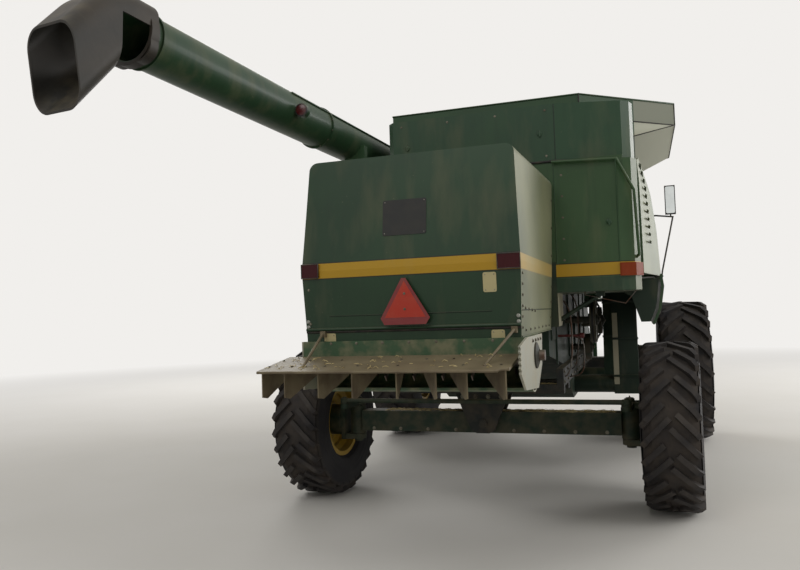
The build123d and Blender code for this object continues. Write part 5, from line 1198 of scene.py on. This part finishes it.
# %% Pipes, stays and caps
WALL_X = 0.700
SHEAR_CAP = ((0.012, 0), (0.012, 0.19), (0.024, 0.195), (0.026, 0.225), (0.015, 0.235), (0, 0.235))
pipes = both_sides(
    [(WALL_X, -0.70, 1.50), (0.90, -0.70, 1.52), (0.905, -0.70, 1.30), (0.885, -0.70, 1.12),
     (0.755, -0.70, 1.12)],
    [(WALL_X, -0.50, 1.95), (0.84, -0.50, 1.93), (0.84, -0.46, 1.45), (0.80, -0.44, 1.17),
     (0.757, -0.44, 1.17)],
    [(WALL_X, -1.10, 1.86), (0.82, -1.10, 1.86), (0.84, -1.10, 1.42), (0.80, -1.12, 1.16),
     (0.757, -1.12, 1.16)],
)
lines("grease_pipes", "chassis", blade_steel, pipes, 0.0065, smooth=True)
stays = both_sides([(1.0, -1.598, 1.9), (1.0, -1.598, 1.875), (1.318, -1.598, 1.795), (1.405, -1.60, 1.9)])
lines("bay_stays", "chassis", blade_steel, stays, 0.005)
rods = both_sides([(0.80, 0.52, 1.60), (0.80, -0.80, 1.74)])
lines("bay_rods", "chassis", galvanised, rods, 0.008)
caps = [((side * WALL_X, REAR_AXLE_Y, 1.518), (side, 0, 0)) for side, _ in SIDES]
seated("shear_caps", "chassis", red_enamel, SHEAR_CAP, caps, 18, smooth=True)
print("pipes, stays and caps on both sides")

# %% [markdown]
# The upper body: rubber seals close the joints of the extension's flared corner, a rolled bead runs
# round its rim, seams part the cover's panels, and pressed louvres let the cooling air out of the
# side panels.

# %% Seals, rims and louvres
EXT_TOP, EXT_LIP, TANK_TOP = 3.820, 3.600, 3.430
COVER_FOOT_Z = 2.982
LOUVRE = ((-0.15, 0.0), (0.15, 0.0), (0.13, 0.020), (-0.13, 0.020))
LOUVRES, LOUVRE_PITCH, LOUVRE_Y, LOUVRE_FOOT_Z = 11, 0.066, -1.18, 2.32
COVER_LATCHES = (("engine_cover", -0.45, 3.22), ("engine_cover", 0.70, 3.22), ("side_panels", 1.22, 2.45))
rim_plan = (
    (-0.930, -0.698), (0.954, -0.698), (1.840, 0.082), (1.840, 1.782), (1.430, 2.242), (-0.930, 2.242),
)
rim_route = [(x, y, EXT_TOP) for x, y in rim_plan]
lines("extension_rim", "chassis", green, [rim_route], 0.009, closed=True)
seal_routes = [
    [(0.954, -0.701, EXT_TOP), (0.954, -0.702, EXT_LIP), (0.954, -0.602, TANK_TOP)],
    [(1.842, 0.082, EXT_TOP), (1.842, 0.082, EXT_LIP), (1.430, -0.360, TANK_TOP)],
    [(0.954, -0.700, EXT_LIP), (1.842, 0.082, EXT_LIP), (1.842, 1.782, EXT_LIP), (1.430, 2.243, EXT_LIP)],
]
lines("extension_seals", "chassis", seal_rubber, seal_routes, 0.006)
cover_kink = [touch("engine_cover", (0.822, -2.3, z), FORWARD)[0] for z in (2.99, 3.455)]
lines("cover_seams", "chassis", green_shade, [cover_kink], 0.004)
foot_seal = [(-0.60, -1.745, COVER_FOOT_Z), (0.818, -1.745, COVER_FOOT_Z), (1.344, -1.596, COVER_FOOT_Z)]
lines("cover_foot_seal", "chassis", seal_rubber, [foot_seal], 0.010)
corner_trim = [
    [touch("side_panels", (x, -2.4, z), FORWARD)[0] for z in (2.13, 2.5, 2.95)] for x in (0.80, 1.29)
]
lines("bay_corner_trim", "chassis", green, corner_trim, 0.004)


def draw_louvres(form):
    for side, _ in SIDES:
        for step in range(LOUVRES):
            z = LOUVRE_FOOT_Z + LOUVRE_PITCH * step
            place, normal = touch("side_panels", (side * 2.2, LOUVRE_Y, z), (-side, 0, 0))
            plate(form, LOUVRE, place, FORWARD, normal + Vector((0, 0, -0.9)), 0.0015)


def draw_cover_latches(form):
    for solid, x, z in COVER_LATCHES:
        place, normal = touch(solid, (x, -2.4, z), FORWARD)
        turned(form, place, normal, ((0.022, -0.001), (0.022, 0.006), (0.012, 0.010), (0, 0.010)), 16)
        slab(form, place + Vector((-0.006, -0.016, -0.028)), place + Vector((0.006, -0.006, 0.028)))


piece("side_louvres", "chassis", green_sides, draw_louvres)
piece("cover_latches", "chassis", green_cover, draw_cover_latches)
print("louvres a side", LOUVRES)

# %% [markdown]
# The sides: an amber marker lamp on each panel, and on each hinged shield two turn latches, a folded
# edge and a rubber strip. The shield's own fittings ride on the shield, so they swing with it.

# %% Markers and shields
MARKER = ((0.036, -0.002), (0.036, 0.010), (0.028, 0.020), (0.012, 0.024), (0, 0.024))
for side, side_name in SIDES:
    toward = (-side, 0, 0)
    shield = "side_shield_" + side_name
    marker_seat = touch("side_panels", (side * 2.0, 0.30, 2.30), toward)
    seated("marker_lamp_" + side_name, "chassis", lamp_amber, MARKER, [marker_seat], 20, smooth=True)

    def draw_shield_latches(form):
        for y in (-0.80, 1.25):
            spot, out = touch(shield, (side * 2.0, y, 1.70), toward)
            turned(form, spot, out, ((0.030, -0.001), (0.030, 0.005), (0.016, 0.010), (0, 0.010)), 18)
            turned(form, spot, out, ((0.008, 0.008), (0.008, 0.018), (0, 0.018)), 6)

    piece("shield_latches_" + side_name, shield, black_plastic, draw_shield_latches)
    fold = [touch(shield, (side * 2.0, y, 1.745), toward)[0] for y in (-1.13, 0.2, 1.58)]
    lines("shield_fold_" + side_name, shield, green, [fold], 0.004)
    edge = [(side * 1.533, y, 1.611) for y in (-1.14, 1.59)]
    lines("shield_edge_" + side_name, shield, seal_rubber, [edge], 0.008)
print("markers and shields done")

# %% [markdown]
# The unloading tube is rolled sheet with a welded seam, banded where flanges join its lengths. The
# lamp on it has a dark red lens inside a black ring.

# %% Auger tube
PIVOT, TUBE_END = Vector((-1.200, 1.002, 3.490)), Vector((-1.734, -3.778, 3.700))
TUBE_RADIUS = 0.187
LAMP_FACE = Vector((-1.304, -2.088, 3.580))
LAMP_LENS = ((0.050, 0), (0.048, 0.008), (0.030, 0.014), (0, 0.016))
LAMP_RING = ((0.0585, -0.01), (0.0595, 0.006), (0.050, 0.010), (0.049, 0.0))
tube = TUBE_END - PIVOT
tube_axis = tube.normalized()
inner, outer = TUBE_RADIUS - 0.002, TUBE_RADIUS + 0.016
ring = ((inner, -0.008), (outer, -0.008), (outer, 0.008), (inner, 0.008))
ring_seats = [(PIVOT + tube_axis * reach, tube_axis) for reach in (0.52, 2.45, tube.length - 0.12)]
seated("auger_bands", "auger", green_tube, ring, ring_seats, 48)
band_bolts = []
for reach in (0.528, 2.458):
    for spoke in spokes(tube_axis, 12):
        place = PIVOT + tube_axis * reach + spoke * (TUBE_RADIUS + 0.007)
        band_bolts.append((place, tube_axis, 0.006))
bolted("auger_band_bolts", "auger", band_bolts)
lens_seat = (LAMP_FACE + Vector((0, 0.002, 0)), BACK)
seated("auger_lamp_lens", "auger", lamp_maroon, LAMP_LENS, [lens_seat], 24, smooth=True)
seated("auger_lamp_ring", "auger", black_plastic, LAMP_RING, [(LAMP_FACE, BACK)], 24, smooth=True)
print("auger fittings done, tube", round(tube.length, 3))

# %% [markdown]
# Mirrors: silvered glass faces rearwards in a rubber rim. Its face is plain metal with almost no
# roughness, so it shows the pale studio behind the camera.

# %% Mirrors
MIRROR_WIDTH, MIRROR_HEIGHT, RIM_OVER = 0.122, 0.392, 0.012
for side, side_name in SIDES:
    rear, _ = touch("mirrors", (side * 1.90, 2.0, 3.30), FORWARD)

    def draw_glass(form):
        outline = rectangle(MIRROR_WIDTH, MIRROR_HEIGHT, 0.02)
        plate(form, outline, rear - Vector((0, 0.0005, 0)), RIGHT, UP, 0.002)

    piece("mirror_glass_" + side_name, "chassis", mirror_face, draw_glass)
    outline = rectangle(MIRROR_WIDTH + RIM_OVER, MIRROR_HEIGHT + RIM_OVER, 0.024)
    rim = [(rear.x + a, rear.y - 0.002, rear.z + b) for a, b in outline]
    lines("mirror_rim_" + side_name, "chassis", seal_rubber, [rim], 0.006, closed=True)
print("mirrors done")

# %% [markdown]
# The cab: black rubber seals hold the panes, a wiper parks on the windscreen, and six work lamps
# stand in the roof's front edge.

# %% Cab seals, lamps and wiper
pane_rims = [
    [(-0.782, 3.918, 1.932), (0.782, 3.918, 1.932), (0.782, 3.918, 3.572), (-0.782, 3.918, 3.572)],
    [(0.826, 2.604, 1.942), (0.826, 3.880, 1.942), (0.826, 3.880, 3.558), (0.826, 2.604, 3.558)],
    [(-0.826, 3.434, 1.942), (-0.826, 3.880, 1.942), (-0.826, 3.880, 3.558), (-0.826, 3.434, 3.558)],
    [(-0.700, 2.496, 2.700), (0.700, 2.496, 2.700), (0.700, 2.496, 3.500), (-0.700, 2.496, 3.500)],
]
lines("cab_seals", "chassis", seal_rubber, pane_rims, 0.010, closed=True)
door_pane = [(-0.832, 2.668, 2.048), (-0.832, 3.312, 2.048), (-0.832, 3.312, 3.472), (-0.832, 2.668, 3.472)]
lines("door_seal", "cab_door", seal_rubber, [door_pane], 0.010, closed=True)
wiper = [[(0.0, 3.930, 1.99), (0.30, 3.938, 2.60)], [(0.15, 3.930, 2.30), (0.42, 3.932, 2.88)]]
lines("wiper", "chassis", black_plastic, wiper, 0.006)
roof_lamp = ((0.052, -0.004), (0.052, 0.010), (0.036, 0.020), (0, 0.024))
roof_seats = [
    (touch("cab_roof", (x, 4.6, 3.70), BACK)[0], FORWARD) for x in (-0.68, -0.46, -0.24, 0.24, 0.46, 0.68)
]
seated("roof_lamps", "chassis", lamp_clear, roof_lamp, roof_seats, 20, smooth=True)
print("cab fittings done")

# %% [markdown]
# The seat's cushions are foam under vinyl: crowned in the middle and pulled in between the corners.
# They are shaped by subdivision, not by cloth, because the seat is small in every view.

# %% Seat cushions
CUSHION_STEPS, CUSHION_PULL, CUSHION_CROWN = 8, 0.012, 0.022


def draw_cushion(form, corner, across, deep, thick):
    """Layers of a pad on two edges from one corner: crowned on top and pulled in at the seams."""
    out = across.cross(deep).normalized()
    wide = CUSHION_STEPS + 1
    layers = []
    for level in (-0.5, -0.2, 0.2, 0.5):
        pull = CUSHION_PULL * (1 - abs(level) * 1.2)
        layer = []
        for i in range(wide):
            for j in range(wide):
                a, b = i / CUSHION_STEPS, j / CUSHION_STEPS
                rise = (1 - (2 * a - 1) ** 4) * (1 - (2 * b - 1) ** 4)
                shift = across.normalized() * pull * (2 * a - 1) + deep.normalized() * pull * (2 * b - 1)
                height = out * (thick * level + (CUSHION_CROWN * rise if level > 0.3 else 0))
                layer.append(form.verts.new(corner + across * a + deep * b + height + shift))
        layers.append(layer)
    for layer in (layers[0], layers[-1]):
        for i in range(CUSHION_STEPS):
            for j in range(CUSHION_STEPS):
                first = i * wide + j
                form.faces.new([layer[k] for k in (first, first + wide, first + wide + 1, first + 1)])
    last = CUSHION_STEPS
    rim = [i * wide for i in range(wide)] + [last * wide + j for j in range(1, wide)]
    rim += [i * wide + last for i in range(last - 1, -1, -1)] + list(range(last - 1, 0, -1))
    for low, high in zip(layers, layers[1:]):
        for a, b in zip(rim, rim[1:] + rim[:1]):
            form.faces.new((low[a], low[b], high[b], high[a]))


# Columns: name, one corner, the next corner across, the next corner deep, thickness
CUSHIONS = (
    ("seat_cushion", (-0.258, 2.785, 2.362), (0.258, 2.785, 2.362), (-0.258, 3.300, 2.362), 0.142),
    ("seat_back", (0.248, 2.842, 2.40), (-0.248, 2.842, 2.40), (0.248, 2.752, 3.00), 0.135),
)
for name, corner, across_to, deep_to, thick in CUSHIONS:
    corner = Vector(corner)
    across, deep = Vector(across_to) - corner, Vector(deep_to) - corner
    pad = piece(name, "chassis", vinyl, lambda form: draw_cushion(form, corner, across, deep, thick))
    pad.data.shade_smooth()
    smoother = pad.modifiers.new("round", "SUBSURF")
    smoother.levels = smoother.render_levels = 1
print("seat done")

# %% [markdown]
# Tread plate: decks and steps are punched with raised teardrops so that a muddy boot holds. Real
# studs, a few millimetres high, stand on the platforms on both sides of the cab.

# %% Tread studs
STUD_PITCH, STUD_LENGTH, STUD_WIDTH, STUD_HEIGHT = 0.05, 0.032, 0.010, 0.003
DECKS = ((-1.58, -0.93, 2.55, 3.45), (0.93, 1.60, 2.55, 3.40), (-1.56, -0.90, 3.60, 4.02))


def stud(form, place, turn):
    """One raised teardrop of tread plate."""
    along = Vector((math.cos(turn), math.sin(turn), 0)) * STUD_LENGTH / 2
    aside = Vector((-math.sin(turn), math.cos(turn), 0)) * STUD_WIDTH / 2
    foot = [form.verts.new(place + p) for p in (-along, aside, along, -aside)]
    top = form.verts.new(place + Vector((0, 0, STUD_HEIGHT)))
    for i in range(4):
        form.faces.new((foot[i], foot[(i + 1) % 4], top))


def draw_studs(form):
    for x_low, x_high, y_low, y_high in DECKS:
        for i in range(int((x_high - x_low) / STUD_PITCH)):
            for j in range(int((y_high - y_low) / STUD_PITCH)):
                spot = (x_low + STUD_PITCH * (i + 0.5), y_low + STUD_PITCH * (j + 0.5), 2.2)
                place, _ = touch("access_ladder", spot, DOWN)
                stud(form, place - Vector((0, 0, 0.0005)), math.pi / 4 * (1 if (i + j) % 2 else -1))


piece("deck_studs", "chassis", black, draw_studs)
print("deck studs done")

# %% [markdown]
# Running gear below: grease caps on the kingpins, ribs on the feeder house's sides, and cast bearing
# housings at the chopper's ends.

# %% Running gear and feeder
KINGPIN_X = 1.300
KINGPIN_CAP = ((0.036, -0.001), (0.034, 0.008), (0.012, 0.012), (0.006, 0.014), (0.006, 0.024), (0, 0.026))
BEARING = ((0.085, 0), (0.085, 0.010), (0.060, 0.020), (0.042, 0.024), (0.040, 0.0))
CHOPPER_X, CHOPPER_Y, CHOPPER_Z = 0.770, -2.978, 1.470
FEEDER_REAR_Y, FEEDER_LENGTH = 3.06, 1.36
# Heights of the feeder's middle and of its ribs' feet and tops: at the rear end, and the change forward
FEEDER_HEIGHTS = ((1.50, -0.62), (1.33, -0.70), (1.70, -0.66))
for side, side_name in SIDES:
    knuckle = "knuckle_" + side_name
    top, _ = touch(knuckle, (side * KINGPIN_X, REAR_AXLE_Y, 1.4), DOWN)
    seated("kingpin_cap_" + side_name, knuckle, zinc_bolt, KINGPIN_CAP, [(top, UP)], 18, smooth=True)


def draw_feeder_ribs(form):
    for side, _ in SIDES:
        for share in (0.12, 0.38, 0.64):
            y = FEEDER_REAR_Y + FEEDER_LENGTH * share
            middle_z, foot_z, top_z = (z + change * share for z, change in FEEDER_HEIGHTS)
            foot, _ = touch("feeder_house", (side * 1.1, y, middle_z), (-side, 0, 0))
            inner, outer = foot.x - side * 0.001, foot.x + side * 0.018
            slab(form, (inner, y - 0.02, foot_z), (outer, y + 0.02, top_z))


piece("feeder_ribs", "feeder", green_dusty, draw_feeder_ribs)
bearing_seats = [((side * CHOPPER_X, CHOPPER_Y, CHOPPER_Z), (side, 0, 0)) for side, _ in SIDES]
seated("chopper_bearings", "chassis", casting, BEARING, bearing_seats, 20)

# %% [markdown]
# compared, and hands the scene over.
